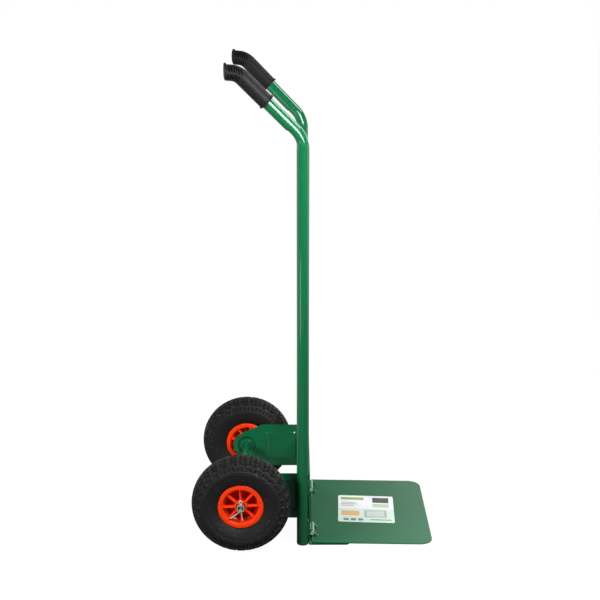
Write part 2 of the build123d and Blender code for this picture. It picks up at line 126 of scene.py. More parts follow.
# %% [markdown]
# ## Patterns
# No real surface is even: its colour, gloss and height drift a little. A painted picture could carry that,
# but it needs unwrapped meshes and blurs close by. Noise on the Object coordinates has a size in
# millimetres instead, fits every mesh and moves along with its piece.

# %% Patterns from noise
MM = 0.001
# The Mix node keeps sockets for every kind of data, so its colour sockets go by number
MIX_FACTOR, MIX_FIRST, MIX_SECOND, MIX_COLOUR = 0, 6, 7, 2
# Noise runs from 0 to 1, but mostly stays between these two
NOISE_LOW, NOISE_HIGH = 0.3, 0.7
# A Map Range node takes a value, its start and end, and what to give at those two. Soft has no corners there
SOFT = {"interpolation_type": "SMOOTHSTEP"}


def patches(finish, size_mm, detail=2.0):
    """A value from 0 to 1 that drifts over the surface in patches of about one size, as noise."""
    place = add_node(finish, "TexCoord").outputs["Object"]
    noise = {"Vector": place, "Scale": 1 / (size_mm * MM), "Detail": detail}
    return add_node(finish, "TexNoise", noise).outputs["Fac"]


def two_shades(finish, size_mm, first, second):
    """A colour that drifts between two shades in patches."""
    mix = {MIX_FACTOR: patches(finish, size_mm), MIX_FIRST: linear(first), MIX_SECOND: linear(second)}
    return add_node(finish, "Mix", mix, data_type="RGBA").outputs[MIX_COLOUR]


def drift(finish, size_mm, low, high):
    """A number that drifts between two limits in patches."""
    span = (patches(finish, size_mm), NOISE_LOW, NOISE_HIGH, low, high)
    return add_node(finish, "MapRange", span).outputs[0]


def faded(finish, value, start, end, first, second):
    """A colour that goes from one to another as a value goes from start to end, with soft ends."""
    share = add_node(finish, "MapRange", (value, start, end), **SOFT).outputs[0]
    mix = {MIX_FACTOR: share, MIX_FIRST: first, MIX_SECOND: second}
    return add_node(finish, "Mix", mix, data_type="RGBA").outputs[MIX_COLOUR]


def grain(finish, size_mm, depth_mm, detail=2.0):
    """A bumped normal from noise of one grain size and depth."""
    sockets = {"Height": patches(finish, size_mm, detail), "Strength": 1.0, "Distance": depth_mm * MM}
    return add_node(finish, "Bump", sockets).outputs["Normal"]


# %% Whole finishes


def cover(finish, sockets):
    """Finish a material with one principled shader, and return it."""
    surface = add_node(finish, "BsdfPrincipled", sockets).outputs[0]
    add_node(finish, "OutputMaterial", {"Surface": surface})
    return finish


def simple_finish(name, shades, roughness, bump=None, fixed=None):
    """A finish of two shades, a roughness and a grain, with their sizes in mm, and fixed values by socket."""
    finish = new_finish(name)
    sockets = {"Base Color": two_shades(finish, *shades), **(fixed or {})}
    sockets["Roughness"] = drift(finish, *roughness) if isinstance(roughness, tuple) else roughness
    if bump:
        sockets["Normal"] = grain(finish, *bump)
    return cover(finish, sockets)


# %% [markdown]
# ## Powder coat
# The frame is steel, sprayed with green powder and then baked. The powder melts into a deep and even glossy
# coat with a faint orange peel. A clear coat on top could give the gloss, but real powder is a single
# layer, so one smooth surface of low roughness is enough.

# %% Powder coat
PAINT_LIGHT, PAINT_DARK = "#146741", "#12623D"

# Baked powder on steel: a deep even green, sharp highlights, a slight orange peel about 9 mm across
paint_shades = (70, PAINT_LIGHT, PAINT_DARK)
powder_coat = simple_finish("green powder coat on steel", paint_shades, (40, 0.09, 0.13), (9, 0.004))
print(powder_coat.name)

# %% [markdown]
# ## Plated steel, brass and nylon
# The small hardware is bought in: zinc plated pins and spacers, turned brass valves and nylon bushes. A full
# metal only mirrors its room, so it looks black where the room is dark. That suits brass, but zinc soon gets
# a chalky bloom that scatters light, so its Metallic stops half way.

# %% Plated steel, brass and nylon

# Zinc on steel: a pale bluish grey with soft cloudy spangle and a thin chalky bloom over the bare metal
ZINC_METAL = 0.5
zinc_shades = (3, "#F0F0F0", "#D2D3D2")
zinc_plate = simple_finish(
    "zinc plate on steel", zinc_shades, (5, 0.34, 0.46), (0.8, 0.01), {"Metallic": ZINC_METAL}
)

# Turned brass that has dulled in the hand: a brown gold metal
brass_shades = (2, "#B8954F", "#7D6232")
valve_brass = simple_finish("dull turned brass", brass_shades, (3, 0.3, 0.45), fixed={"Metallic": 1.0})

# Black nylon bushes: dull, slightly waxy. Their black is also painted shade for the gap round the axle end
bush_nylon = simple_finish("black nylon", (6, "#1E1D1C", "#171716"), 0.42, (1.5, 0.01))
print(zinc_plate.name, valve_brass.name, bush_nylon.name, sep=", ")

# %% [markdown]
# ## Rubber
# Grips and tyres are moulded rubber. The mould is blasted, which leaves a fine grain, and a tyre gathers
# dust on its blocks. Grains could be modelled one by one, but at this size bump is enough for the grain,
# and dust is no more than a paler colour where noise peaks.

# %% Grip and tyre rubber

# Moulded grip rubber: charcoal black with a satin shine and a fine blasted grain
grip_shades = (25, "#1E1E1E", "#191919")
grip_rubber = simple_finish(
    "satin moulded rubber", grip_shades, (12, 0.46, 0.56), (0.9, 0.006), {"Specular IOR Level": 0.15}
)

# Tyre rubber: soot black, dull, with a dusty bloom in patches and grey specks where the noise peaks. The
# specks are coarser than dust is, so that they show
SPECK_MM, SPECK_START, SPECK_END = 4.0, 0.64, 0.76
tyre_rubber = new_finish("vulcanised tyre rubber")
tyre_specks = patches(tyre_rubber, SPECK_MM)
tyre_black = two_shades(tyre_rubber, 18, "#1D1D1D", "#171717")
cover(
    tyre_rubber,
    {
        "Base Color": faded(tyre_rubber, tyre_specks, SPECK_START, SPECK_END, tyre_black, linear("#565656")),
        "Roughness": drift(tyre_rubber, 9, 0.5, 0.68),
        "Normal": grain(tyre_rubber, 1.2, 0.04),
        "Specular IOR Level": 0.3,
    },
)
print(grip_rubber.name, tyre_rubber.name, sep=", ")

# %% [markdown]
# ## Plastic
# The rims are moulded polypropylene. Deep in the recess the web is painted a deeper red than the lip. This is
# painted shade, for the shade that falls deep inside the recess, so the colour simply goes with the distance
# from mid wheel.

# %% Rim and cap plastic

# Polypropylene rim: saturated orange red, satin, with slow flow marks from the mould
# Up to the first distance from mid wheel the rim has its painted shade, from the second on its own red
TRACK_HALF, RIM_SHADED_TO, RIM_UNSHADED_FROM = 221.0, 5.0, 22.0
rim_plastic = new_finish("moulded polypropylene")
rim_place = add_node(rim_plastic, "TexCoord").outputs["Object"]
rim_along = add_node(rim_plastic, "SeparateXYZ", (rim_place,)).outputs["Y"]
rim_aside = add_node(rim_plastic, "Math", (rim_along,), operation="ABSOLUTE").outputs[0]
rim_past = add_node(rim_plastic, "Math", (rim_aside, TRACK_HALF * MM), operation="SUBTRACT").outputs[0]
rim_off = add_node(rim_plastic, "Math", (rim_past,), operation="ABSOLUTE").outputs[0]
# Painted shade: the web's deeper red stands for the shade deep in the rim's recess
rim_web_painted_shade = two_shades(rim_plastic, 22, "#D01E06", "#C81A05")
rim_lip = two_shades(rim_plastic, 22, "#FF420F", "#FA3A09")
cover(
    rim_plastic,
    {
        "Base Color": faded(rim_plastic, rim_off, RIM_SHADED_TO * MM, RIM_UNSHADED_FROM * MM, rim_web_painted_shade, rim_lip),
        "Roughness": drift(rim_plastic, 15, 0.3, 0.4),
        "Normal": grain(rim_plastic, 2.5, 0.012),
        "Specular IOR Level": 0.25,
    },
)

# Polythene valve caps: plain black with a soft shine
cap_plastic = simple_finish("black polythene", (4, "#262626", "#1C1C1C"), 0.4, (0.7, 0.02))
print(rim_plastic.name, cap_plastic.name, sep=", ")

# %% [markdown]
# ## The axle's two finishes
# The axle tube is painted with the frame, but its ends run in the wheels and stay plated. The tube could be
# cut into three pieces, but one material can hold both finishes: the Object coordinate's Y, without its
# sign, says how far along the axle a point is.

# %% Painted axle with bare ends
PAINT_END_MM = 183.0

axle_finish = new_finish("painted axle with bare plated ends")
axle_place = add_node(axle_finish, "TexCoord").outputs["Object"]
axle_along = add_node(axle_finish, "SeparateXYZ", (axle_place,)).outputs["Y"]
axle_reach = add_node(axle_finish, "Math", (axle_along,), operation="ABSOLUTE").outputs[0]
axle_end = (axle_reach, PAINT_END_MM * MM)
axle_bare = add_node(axle_finish, "Math", axle_end, operation="GREATER_THAN").outputs[0]
axle_paint = two_shades(axle_finish, *paint_shades)
axle_zinc = two_shades(axle_finish, 3, "#D8D1BC", "#B4AC97")
axle_mix = {MIX_FACTOR: axle_bare, MIX_FIRST: axle_paint, MIX_SECOND: axle_zinc}
cover(
    axle_finish,
    {
        "Base Color": add_node(axle_finish, "Mix", axle_mix, data_type="RGBA").outputs[MIX_COLOUR],
        "Metallic": add_node(axle_finish, "Math", (axle_bare, ZINC_METAL), operation="MULTIPLY").outputs[0],
        "Roughness": drift(axle_finish, 10, 0.12, 0.24),
    },
)
print(axle_finish.name)

# %% [markdown]
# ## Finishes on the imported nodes
# Pieces whose solid shape is already right could be built again, but that would gain nothing. They keep
# their mesh and only take a finish, by their material slots. The record says which slot each one has.

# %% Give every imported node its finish
FINISH_OF_SLOT = {
    "green_paint": powder_coat,
    "zinc_plate": zinc_plate,
    "grip_rubber": grip_rubber,
    "tyre_rubber": tyre_rubber,
    "tube_rubber": tyre_rubber,
    "rim_plastic": rim_plastic,
    "bush_nylon": bush_nylon,
    "valve_brass": valve_brass,
    "cap_plastic": cap_plastic,
}
for part in frame["record"]["subparts"]:
    for held in frame["nodes"][part["node"]].material_slots:
        held.material = FINISH_OF_SLOT[part["material_slot"]]
for held in frame["nodes"]["axle_tube"].material_slots:
    held.material = axle_finish

# %% [markdown]
# ## Surfaces from grids
# Nearly everything on the truck is a closed loop carried along a path: a tube, a grip, a bead of weld, a
# tyre. So one function closes a grid of points into a skin. Each row of the grid is a loop. Rows join
# their neighbours with quads, and the two end rows either join each other or are closed with caps. The
# skin's volume tells whether its faces look outwards, and if it is negative the skin is turned over.

# %% Closed skins


def volume(points, faces):
    """Signed volume: the sum over all faces, cut into fans of triangles, of a . (b x c) / 6."""
    total = 0.0
    for face in faces:
        corner = points[face]
        turned = np.cross(corner[:, 1:-1], corner[:, 2:])
        total += np.sum(corner[:, :1] * turned)
    return total / 6


def skin(grid, ring=False):
    """Points and faces of a closed skin over a grid whose rows are closed loops.

    Points are numbered row x columns + column. A quad joins four neighbours, and after the last column
    comes the first.
    """
    rows, columns = grid.shape[:2]
    points = grid.reshape(-1, 3)
    row = np.arange(rows if ring else rows - 1)[:, None]
    column = np.arange(columns)[None, :]
    ahead = (row + 1) % rows
    beside = (column + 1) % columns
    here, there = row * columns, ahead * columns
    corners = [here + column, here + beside, there + beside, there + column]
    faces = [np.stack(corners, -1).reshape(-1, 4)]
    if not ring:
        loop = np.arange(columns)[None, :]
        faces += [loop[:, ::-1], loop + (rows - 1) * columns]
    if volume(points, faces) < 0:
        faces = [face[:, ::-1] for face in faces]
    return points, faces


# %% Objects from skins


def build(name, skins, finish, body, stands_for=(), sharp_degrees=38):
    """One smooth object, at the origin, from skins in millimetres. It rides on a body."""
    starts = np.cumsum([0] + [len(points) for points, _ in skins])
    points = np.concatenate([points for points, _ in skins]) * MM
    faces = [face + start for (_, group), start in zip(skins, starts) for face in group]
    sizes = np.concatenate([np.full(len(face), face.shape[1]) for face in faces])
    corners = np.concatenate([face.ravel() for face in faces])
    mesh = bpy.data.meshes.new(name)
    mesh.vertices.add(len(points))
    mesh.vertices.foreach_set("co", points.ravel())
    mesh.loops.add(len(corners))
    mesh.loops.foreach_set("vertex_index", corners)
    mesh.polygons.add(len(sizes))
    mesh.polygons.foreach_set("loop_start", np.cumsum(sizes) - sizes)
    mesh.update(calc_edges=True)
    mesh.polygons.foreach_set("use_smooth", np.ones(len(sizes), bool))
    mesh.set_sharp_from_angle(angle=np.radians(sharp_degrees))
    mesh.materials.append(finish)
    piece = bpy.data.objects.new(name, mesh)
    scene.collection.objects.link(piece)
    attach(piece, body)
    if stands_for:
        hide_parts(*stands_for)
    print(name, len(points), "points", int(np.sum(sizes - 2)), "triangles")
    return piece


# %% Steps and directions


def smooth_step(x):
    """0 below 0, 1 above 1, and 3x^2 - 2x^3 between."""
    x = np.clip(x, 0, 1)
    return x * x * (3 - 2 * x)


def unit(vectors):
    """Vectors of length 1: each divided by the root of the sum of its squares."""
    return vectors / np.linalg.norm(vectors, axis=-1, keepdims=True)


def spread(x, y, z):
    """Points from three coordinates, each a number or an array that fits the others."""
    return np.stack(np.broadcast_arrays(x, y, z), -1)


def fan(angle, first, second):
    """Directions cos(angle) first + sin(angle) second, one row for each row of the two."""
    return np.cos(angle)[None, :, None] * first + np.sin(angle)[None, :, None] * second


def around(count):
    """Angles of one full turn, without the last that would repeat the first."""
    return np.linspace(0, 2 * np.pi, count, endpoint=False)


# %% Lines and paths


def lengths(points):
    """How far along a line of points each one lies: the sum of the steps before it."""
    return np.concatenate([[0], np.cumsum(np.linalg.norm(np.diff(points, axis=0), axis=1))])


def at_lengths(wanted, along, points):
    """Points of a line at the wanted lengths along it, on the straight between its two neighbours."""
    return np.stack([np.interp(wanted, along, line) for line in points.T], -1)


def rounded_path(corners, radii, spacing):
    """Points along straight runs whose corners are replaced by tangent arcs.

    An arc of radius r that turns by an angle a starts r tan(a / 2) before its corner. Its centre lies at
    r to the side, and its points are centre + r (sin t ahead - cos t aside) for t from 0 to a.
    """
    corners = np.asarray(corners, float)
    pieces = [corners[:1]]
    for before, corner, after, radius in zip(corners[:-2], corners[1:-1], corners[2:], radii):
        ahead = unit(corner - before)
        leaving = unit(after - corner)
        turn = np.arccos(np.clip(ahead @ leaving, -1, 1))
        aside = unit(leaving - ahead * (ahead @ leaving))
        centre = corner - ahead * radius * np.tan(turn / 2) + aside * radius
        t = np.linspace(0, turn, max(3, int(radius * turn / spacing) + 1))[:, None]
        pieces.append(centre + radius * (np.sin(t) * ahead - np.cos(t) * aside))
    pieces.append(corners[-1:])
    knots = np.concatenate(pieces)
    along = lengths(knots)
    even = np.linspace(0, along[-1], int(along[-1] / spacing) + 1)
    every = np.unique(np.round(np.concatenate([along, even]), 6))
    return at_lengths(every, along, knots), every


# %% [markdown]
# ## Uprights with a pressed bend
# Each upright is one steel tube. The bend at the top was pressed without a mandrel, so the wall on the
# inside of the bend is pushed in, with a small step where the press tool ended. A plain sweep has no such
# step, so the radius here is a function of both the way along the tube and the angle round it.

# %% Path of an upright
UPRIGHT_X, UPRIGHT_HALF = -28.0, 194.0
BEND_Z, HANDLE_RUN = 1084.5, 224.0
HANDLE_RISE, GRIP_RISE = np.radians(45), np.radians(4)
SPLAY = np.radians(8)

handle_step = np.array([-np.cos(HANDLE_RISE), 0, np.sin(HANDLE_RISE)])
grip_step = np.array([-np.cos(GRIP_RISE), 0, np.sin(GRIP_RISE)])


def bend_points(side):
    """The corners of an upright's path before they are rounded: at its top, and inside its grip."""
    top = np.array([UPRIGHT_X, side * UPRIGHT_HALF, BEND_Z])
    return top, top + handle_step * HANDLE_RUN


def splayed(side, points):
    """Points turned about an upright's own axis by an angle a, so that the handles lean outwards.

    What lies back and out of the axis goes to back cos a + out sin a and out cos a - back sin a.
    """
    turn = side * SPLAY
    back = points[..., 0] - UPRIGHT_X
    out = points[..., 1] - side * UPRIGHT_HALF
    x = UPRIGHT_X + back * np.cos(turn) + out * np.sin(turn)
    y = side * UPRIGHT_HALF - back * np.sin(turn) + out * np.cos(turn)
    return spread(x, y, points[..., 2])


print("left grip bend at", splayed(1, bend_points(1)[1]).round(1), "mm")

# %% Uprights
TUBE_R, TUBE_WALL = 16.0, 2.0
BEND_R, GRIP_BEND_R, TUBE_END_RUN = 70.0, 43.0, 20.0
# The dent is this deep, and the tube's sides swell by a share of that
DENT_DEPTH, DENT_SWELL = 2.2, 0.25
DENT_TOP, DENT_TOP_STEP = 44.0, 8.0
DENT_FOOT, DENT_FOOT_STEP = 34.0, 26.0
TUBE_CHAMFER, TUBE_CHAMFER_RUN = 0.5, 0.6
TUBE_STEP, TUBE_SIDES = 2.5, 72
SIDEWAYS = np.array([0.0, 1.0, 0.0])


def upright_skin(side):
    """A tube wall carried along the bent path: out along the outer radius, back along the inner one.

    The outer radius loses a dent where the angle points inside the bend: depth x s(along) x cos(angle)^2,
    where s rises and falls as smooth steps at the two ends of the press tool. The tube's sides swell by a
    share of depth x s(along) x sin(angle)^2.
    """
    bend, grip_bend = bend_points(side)
    # The path starts on the floor, right below its bend
    corners = [bend * (1, 1, 0), bend, grip_bend, grip_bend + grip_step * TUBE_END_RUN]
    path, along = rounded_path(corners, [BEND_R, GRIP_BEND_R], TUBE_STEP)
    ahead = unit(np.gradient(path, along, axis=0))
    inside = np.cross(ahead, SIDEWAYS)
    reach = BEND_R * np.tan(HANDLE_RISE / 2)
    bend_middle = BEND_Z - reach + BEND_R * HANDLE_RISE / 2
    top = smooth_step((bend_middle + DENT_TOP - along) / DENT_TOP_STEP)
    foot = smooth_step((along - bend_middle + DENT_FOOT) / DENT_FOOT_STEP)
    angle = around(TUBE_SIDES)
    facing = np.clip(np.cos(angle), 0, 1) ** 2
    dent = DENT_DEPTH * (top * foot)[:, None] * facing
    bulge = DENT_SWELL * DENT_DEPTH * (top * foot)[:, None] * np.sin(angle) ** 2
    outer = TUBE_R - dent + bulge
    lip = np.minimum(along, along[-1] - along)[:, None]
    outer = outer - TUBE_CHAMFER * np.clip(1 - lip / TUBE_CHAMFER_RUN, 0, 1)
    spokes = fan(angle, inside[:, None], SIDEWAYS)
    out_wall = path[:, None] + spokes * outer[..., None]
    in_wall = path[:, None] + spokes * (outer - TUBE_WALL)[..., None]
    return skin(splayed(side, np.concatenate([out_wall, in_wall[::-1]])), ring=True)


SIDES = {"left": 1, "right": -1}
for name, side in SIDES.items():
    replaced = [f"{name}_upright"]
    build(f"{name}_bent_upright", [upright_skin(side)], powder_coat, "frame", replaced)

# %% [markdown]
# ## Grips
# A moulded rubber sleeve slides over the end of each tube. It starts with a ring, follows the tube round
# its second bend, has two rows of finger slots over and under the bent end, and stops in an upright
# plate. A boolean could cut each slot, but the slots are only a lower radius where two bands cross: one
# band in the way along the grip, the other in the height above or below the side. Slots lean a little,
# so that each pair makes a blunt arrow towards the hand.

# %% Finger slots
SLOT_FIRST, SLOT_PITCH, SLOT_HALF, SLOT_DEPTH, SLOT_EDGE = 6.6, 6.0, 1.5, 2.8, 0.7
SLOTS_OVER, SLOTS_UNDER = 6, 5
LEAN_OVER, LEAN_UNDER = 0.14, 0.4
SLOT_FROM, SLOT_TO, SLOT_FADE = 2.6, 16.6, 0.8


def slot_rows(ahead, count):
    """How far into a slot a point lies, by its distance ahead of the end plate: 1 in a slot, 0 between."""
    number = np.clip(np.round((ahead - SLOT_FIRST) / SLOT_PITCH), 0, count - 1)
    off_middle = np.abs(ahead - SLOT_FIRST - number * SLOT_PITCH)
    return smooth_step((SLOT_HALF - off_middle) / SLOT_EDGE + 0.5)


def slot_cut(ahead, height):
    """How deep the slots are at a place: over and under the side, each row leaning towards the plate."""
    off_side = np.abs(height)
    ends = smooth_step((off_side - SLOT_FROM) / SLOT_FADE) * smooth_step((SLOT_TO - off_side) / SLOT_FADE)
    over = slot_rows(ahead + LEAN_OVER * off_side, SLOTS_OVER)
    under = slot_rows(ahead + LEAN_UNDER * off_side, SLOTS_UNDER)
    return SLOT_DEPTH * ends * np.where(height > 0, over, under)


print("finger slots on a side", SLOTS_OVER, "over and", SLOTS_UNDER, "under")

# %% End plates
PLATE_W, PLATE_HALF_W, PLATE_HALF_H, PLATE_LIFT = 5.5, 20.5, 21.2, 1.8
PLATE_ROUND, PLATE_ROUND_LOW = 1.4, 5.0
# The large rounding comes in below this sine of the angle round the plate, over this much of it
PLATE_LOW_SINE, PLATE_LOW_FADE = 0.3, 1.2
PLATE_FACE_INSETS = (4.0, 9.0, 13.0)
CORNER = np.linspace(0, np.pi / 2, 5)


def end_plate(front, middle, angle):
    """Loops of an oval plate: a small rounding all round its front edge, and a large one low at the back.

    A rounding r takes r (1 - sin c) off the outline and r (1 - cos c) off the thickness, c up to 90 degrees.
    """
    low = smooth_step((PLATE_LOW_SINE - np.sin(angle)) / PLATE_LOW_FADE)
    back_round = PLATE_ROUND + (PLATE_ROUND_LOW - PLATE_ROUND) * low
    turn = CORNER[:, None]
    front_in = PLATE_ROUND * (1 - np.sin(turn)) + 0 * angle
    front_deep = PLATE_ROUND * (1 - np.cos(turn)) + 0 * angle
    back_in = (back_round * (1 - np.sin(turn)))[::-1]
    back_deep = (PLATE_W - back_round * (1 - np.cos(turn)))[::-1]
    face_in = back_in[-1:] + np.array(PLATE_FACE_INSETS)[:, None]
    inset = np.concatenate([front_in, back_in, face_in])
    deep = np.concatenate([front_deep, back_deep, np.full(face_in.shape, PLATE_W)])
    wide = (PLATE_HALF_W - inset) * np.cos(angle)
    tall = (PLATE_HALF_H - inset) * np.sin(angle) + PLATE_LIFT
    return spread(front - deep, middle[1] + wide, middle[2] + tall)


print("end plate", 2 * PLATE_HALF_W, "x", 2 * PLATE_HALF_H, "mm")

# %% Loops of a grip
GRIP_R, GRIP_BORE_R, SLOTTED_RUN, BORE_LAST = 19.5, 16.05, 62.0, 0.5
RING_R, RING_W, RING_ROUND = 21.5, 4.6, 1.2
RING_FOOT_RUN, RING_FOOT_RISE, RING_CLEAR = 0.6, 0.5, 2.0
BORE_STEP, PLAIN_STEP, SLOT_STEP = 3.0, 2.5, 0.4


def grip_rows(length, bore_length):
    """How far along and how wide each loop of a grip is, and how many loops its sleeve has.

    Loops come back out of the bore, go round the ring with its two rounded edges, and along the sleeve.
    """
    low = RING_ROUND * (1 - np.cos(CORNER))
    bulge = RING_R - RING_ROUND * (1 - np.sin(CORNER))
    bore_along = np.arange(bore_length, BORE_LAST, -BORE_STEP)
    ring_along = np.concatenate([[0], low, RING_W - low[::-1], [RING_W, RING_W + RING_FOOT_RUN]])
    ring_r = np.concatenate([[GRIP_BORE_R], bulge, bulge[::-1], [GRIP_R + RING_FOOT_RISE, GRIP_R]])
    plain_along = np.arange(RING_W + RING_CLEAR, length - SLOTTED_RUN, PLAIN_STEP)
    slotted_along = np.arange(length - SLOTTED_RUN, length, SLOT_STEP)
    rows_along = np.concatenate([bore_along, ring_along, plain_along, slotted_along, [length]])
    sleeve_rows = len(plain_along) + len(slotted_along) + 1
    rows_r = np.concatenate([np.full(len(bore_along), GRIP_BORE_R), ring_r, np.full(sleeve_rows, GRIP_R)])
    return rows_along, rows_r, sleeve_rows


print("grip", 2 * GRIP_R, "mm across, its ring", 2 * RING_R, "mm")

# %% Grips
GRIP_START, GRIP_FACE_BACK = 124.0, 191.0
TIP_RUN, BORE_PAST_TUBE = 14.0, 0.3
PATH_STEP, GRIP_SIDES = 0.8, 180


def grip_skin(side):
    """A loop of radius r(along, angle) carried along the bent path: out of the bore, over the ring, back.

    A loop's point is centre + r (cos angle sideways + sin angle up), and the last loops tip upright: up
    then takes a share of tan(rise) x ahead.
    """
    bend, grip_bend = bend_points(side)
    start = bend + handle_step * GRIP_START
    plate_front = UPRIGHT_X - GRIP_FACE_BACK + PLATE_W
    last_run = (grip_bend[0] - plate_front) / np.cos(GRIP_RISE)
    last = grip_bend + grip_step * last_run
    path, along = rounded_path([start, grip_bend, last], [GRIP_BEND_R], PATH_STEP)
    length = along[-1]
    bore_length = length - last_run + TUBE_END_RUN + BORE_PAST_TUBE
    rows_along, rows_r, sleeve_rows = grip_rows(length, bore_length)
    centre = at_lengths(rows_along, along, path)
    way = unit(at_lengths(rows_along, along, np.gradient(path, along, axis=0)))
    tip = smooth_step(1 - (length - rows_along) / TIP_RUN) * np.tan(GRIP_RISE)
    standing = np.cross(SIDEWAYS, way) + tip[:, None] * way
    angle = around(GRIP_SIDES)
    spokes = fan(angle, SIDEWAYS, standing[:, None])
    plain = centre[:, None] + spokes * rows_r[:, None, None]
    cut = slot_cut(plain[..., 0] - plate_front, rows_r[:, None] * np.sin(angle))
    cut[:-sleeve_rows] = 0
    sleeve = plain - spokes * cut[..., None]
    return skin(splayed(side, np.concatenate([sleeve, end_plate(plate_front, last, angle)])))


for name, side in SIDES.items():
    build(f"{name}_ribbed_grip", [grip_skin(side)], grip_rubber, "frame", [f"{name}_grip"])

# %% [markdown]
# ## Wheel brackets
# Each bracket is a pressed sheet. A raised panel stiffens it, and a round boss is pushed the other way
# where the axle goes through. Soft shoulders are hard to bevel, so here the outline is a grid of X against
# a share of the half height there, and the pressing is a relief: both faces of the sheet move in or out
# together.

# %% Bracket outline and relief
BRACKET_HALF_H, BRACKET_SHOULDER, NOSE_R, BRACKET_FRONT = 63.5, 46.0, 39.0, 177.7
PANEL_DEPTH, PANEL_BACK, PANEL_BACK_BOW, PANEL_FRONT = 3.0, 55.0, 8.5, 145.0
PANEL_HALF_H, PANEL_CORNER = 41.0, 9.0
BOSS_R, BOSS_DEPTH = 25.5, 6.0
PANEL_SHOULDER, BOSS_SHOULDER = 7.0, 3.2


def bracket_half_height(x):
    """Half the bracket's height: the nose circle, its tangent to the shoulder, then a constant."""
    corner = np.hypot(BRACKET_SHOULDER, BRACKET_HALF_H)
    touch = np.arctan2(BRACKET_HALF_H, BRACKET_SHOULDER) + np.arccos(NOSE_R / corner)
    touch_x, touch_y = NOSE_R * np.cos(touch), NOSE_R * np.sin(touch)
    nose = np.sqrt(np.clip(NOSE_R**2 - x**2, 0, None))
    return np.where(x < touch_x, nose, np.interp(x, [touch_x, BRACKET_SHOULDER], [touch_y, BRACKET_HALF_H]))


def bracket_relief(x, z):
    """How far the sheet is pressed inwards: the panel's depth inside its rounded outline, less the boss.

    Both use a signed distance to an outline, turned into a shoulder by a smooth step.
    """
    back = PANEL_BACK + PANEL_BACK_BOW * (1 - (z / PANEL_HALF_H) ** 2)
    middle, half = (back + PANEL_FRONT) / 2, (PANEL_FRONT - back) / 2
    over_x = np.abs(x - middle) - half + PANEL_CORNER
    over_z = np.abs(z) - PANEL_HALF_H + PANEL_CORNER
    outside = np.hypot(np.clip(over_x, 0, None), np.clip(over_z, 0, None))
    inside = np.minimum(np.maximum(over_x, over_z), 0)
    panel = smooth_step(-(outside + inside - PANEL_CORNER) / PANEL_SHOULDER + 0.5)
    boss = smooth_step((BOSS_R - np.hypot(x, z)) / BOSS_SHOULDER + 0.5)
    return PANEL_DEPTH * panel - BOSS_DEPTH * boss


print("panel pressed in", PANEL_DEPTH, "mm, boss pressed out", BOSS_DEPTH, "mm")

# %% Wheel brackets
AXLE_X, AXLE_Z = -190.0, 130.0
SHEET, SHEET_EDGE, BRACKET_Y = 3.0, 0.7, 178.0
# The grid is fine where the relief changes: over the boss and the panel's back edge, and at its front edge
NOSE_START, NOSE_ROWS = 0.04, 60
FINE_MM, COARSE_MM = 0.8, 4.0
BACK_EDGE_END, FRONT_EDGE_START, FRONT_EDGE_END, FRONT_FLAT_START = 68.0, 139.0, 150.0, 151.0
# Shares of the half height, from the lower edge to the middle: start, end and step, fine at the panel's edge
SHARE_SPANS = ((-1, -0.74, 0.05), (-0.74, -0.56, 0.012), (-0.56, 0, 0.02))


def bracket_skin(side):
    """The sheet's thin rounded section, carried from the nose to the front, with the relief added.

    A loop goes up the outer face at depth 0 and down the inner one at the sheet's depth. Both faces reach the
    full height. Between them the edge is lower by e, in quarter rounds: e (1 - sin c) at depth e cos c.
    """
    spans = [
        -NOSE_R * np.cos(np.linspace(NOSE_START, np.pi / 2, NOSE_ROWS)),
        np.arange(FINE_MM, BACK_EDGE_END, FINE_MM),
        np.arange(BACK_EDGE_END, FRONT_EDGE_START, COARSE_MM),
        np.arange(FRONT_EDGE_START, FRONT_EDGE_END, FINE_MM),
        np.arange(FRONT_FLAT_START, BRACKET_FRONT, COARSE_MM),
        [BRACKET_FRONT],
    ]
    x = np.concatenate(spans)[:, None]
    half = bracket_half_height(x)
    share = np.concatenate([np.arange(*span) for span in SHARE_SPANS])
    share = np.concatenate([share, [0], -share[::-1]])[1:-1]
    top = half - SHEET_EDGE * (1 - np.sin(CORNER))
    edge_deep = SHEET_EDGE - SHEET_EDGE * (1 - np.cos(CORNER))
    outer_z = np.concatenate([-top, (half - SHEET_EDGE) * share, top[:, ::-1]], 1)
    outer_deep = np.concatenate([edge_deep, np.zeros(len(share)), edge_deep[::-1]])
    loop_z = np.concatenate([outer_z, outer_z[:, ::-1]], 1)
    loop_deep = np.concatenate([outer_deep, (SHEET - outer_deep)[::-1]])
    relief = bracket_relief(x, loop_z)
    return skin(spread(AXLE_X + x, side * (BRACKET_Y - loop_deep - relief), AXLE_Z + loop_z))


for name, side in SIDES.items():
    replaced = [f"{name}_wheel_bracket"]
    build(f"{name}_pressed_bracket", [bracket_skin(side)], powder_coat, "frame", replaced)

# %% [markdown]
# ## Tyres
# A small pneumatic tyre has a block tread: five zigzag grooves side by side, short cuts between them that
# leave slanted blocks, and lugs that run over the shoulder between notched pits. Blocks could be made one
# by one and set round the wheel, but each would have to fit the round of the tyre. So the surface is the
# tyre's section turned about the axle, with the grooves as a depth along its normal. Depth depends on two
# things only: the angle round the wheel and the distance across the tread.

# %% An arc through three points


def arc_through(first, middle, last, spacing):
    """Points on the circle through three points in a plane, from the first to the last.

    Its centre is as far from the second and third point as from the first, which is two linear equations.
    """
    (ax, ay), (bx, by), (cx, cy) = first, middle, last
    sums = np.array([[bx - ax, by - ay], [cx - ax, cy - ay]])
    squares = np.array([bx**2 - ax**2 + by**2 - ay**2, cx**2 - ax**2 + cy**2 - ay**2]) / 2
    centre = np.linalg.solve(sums, squares)
    radius = np.hypot(*(np.array(first) - centre))
    turn = np.unwrap([np.arctan2(y - centre[1], x - centre[0]) for x, y in (first, middle, last)])
    steps = int(radius * abs(turn[2] - turn[0]) / spacing) + 2
    t = np.linspace(turn[0], turn[2], steps)
    return centre + radius * np.stack([np.cos(t), np.sin(t)], -1)


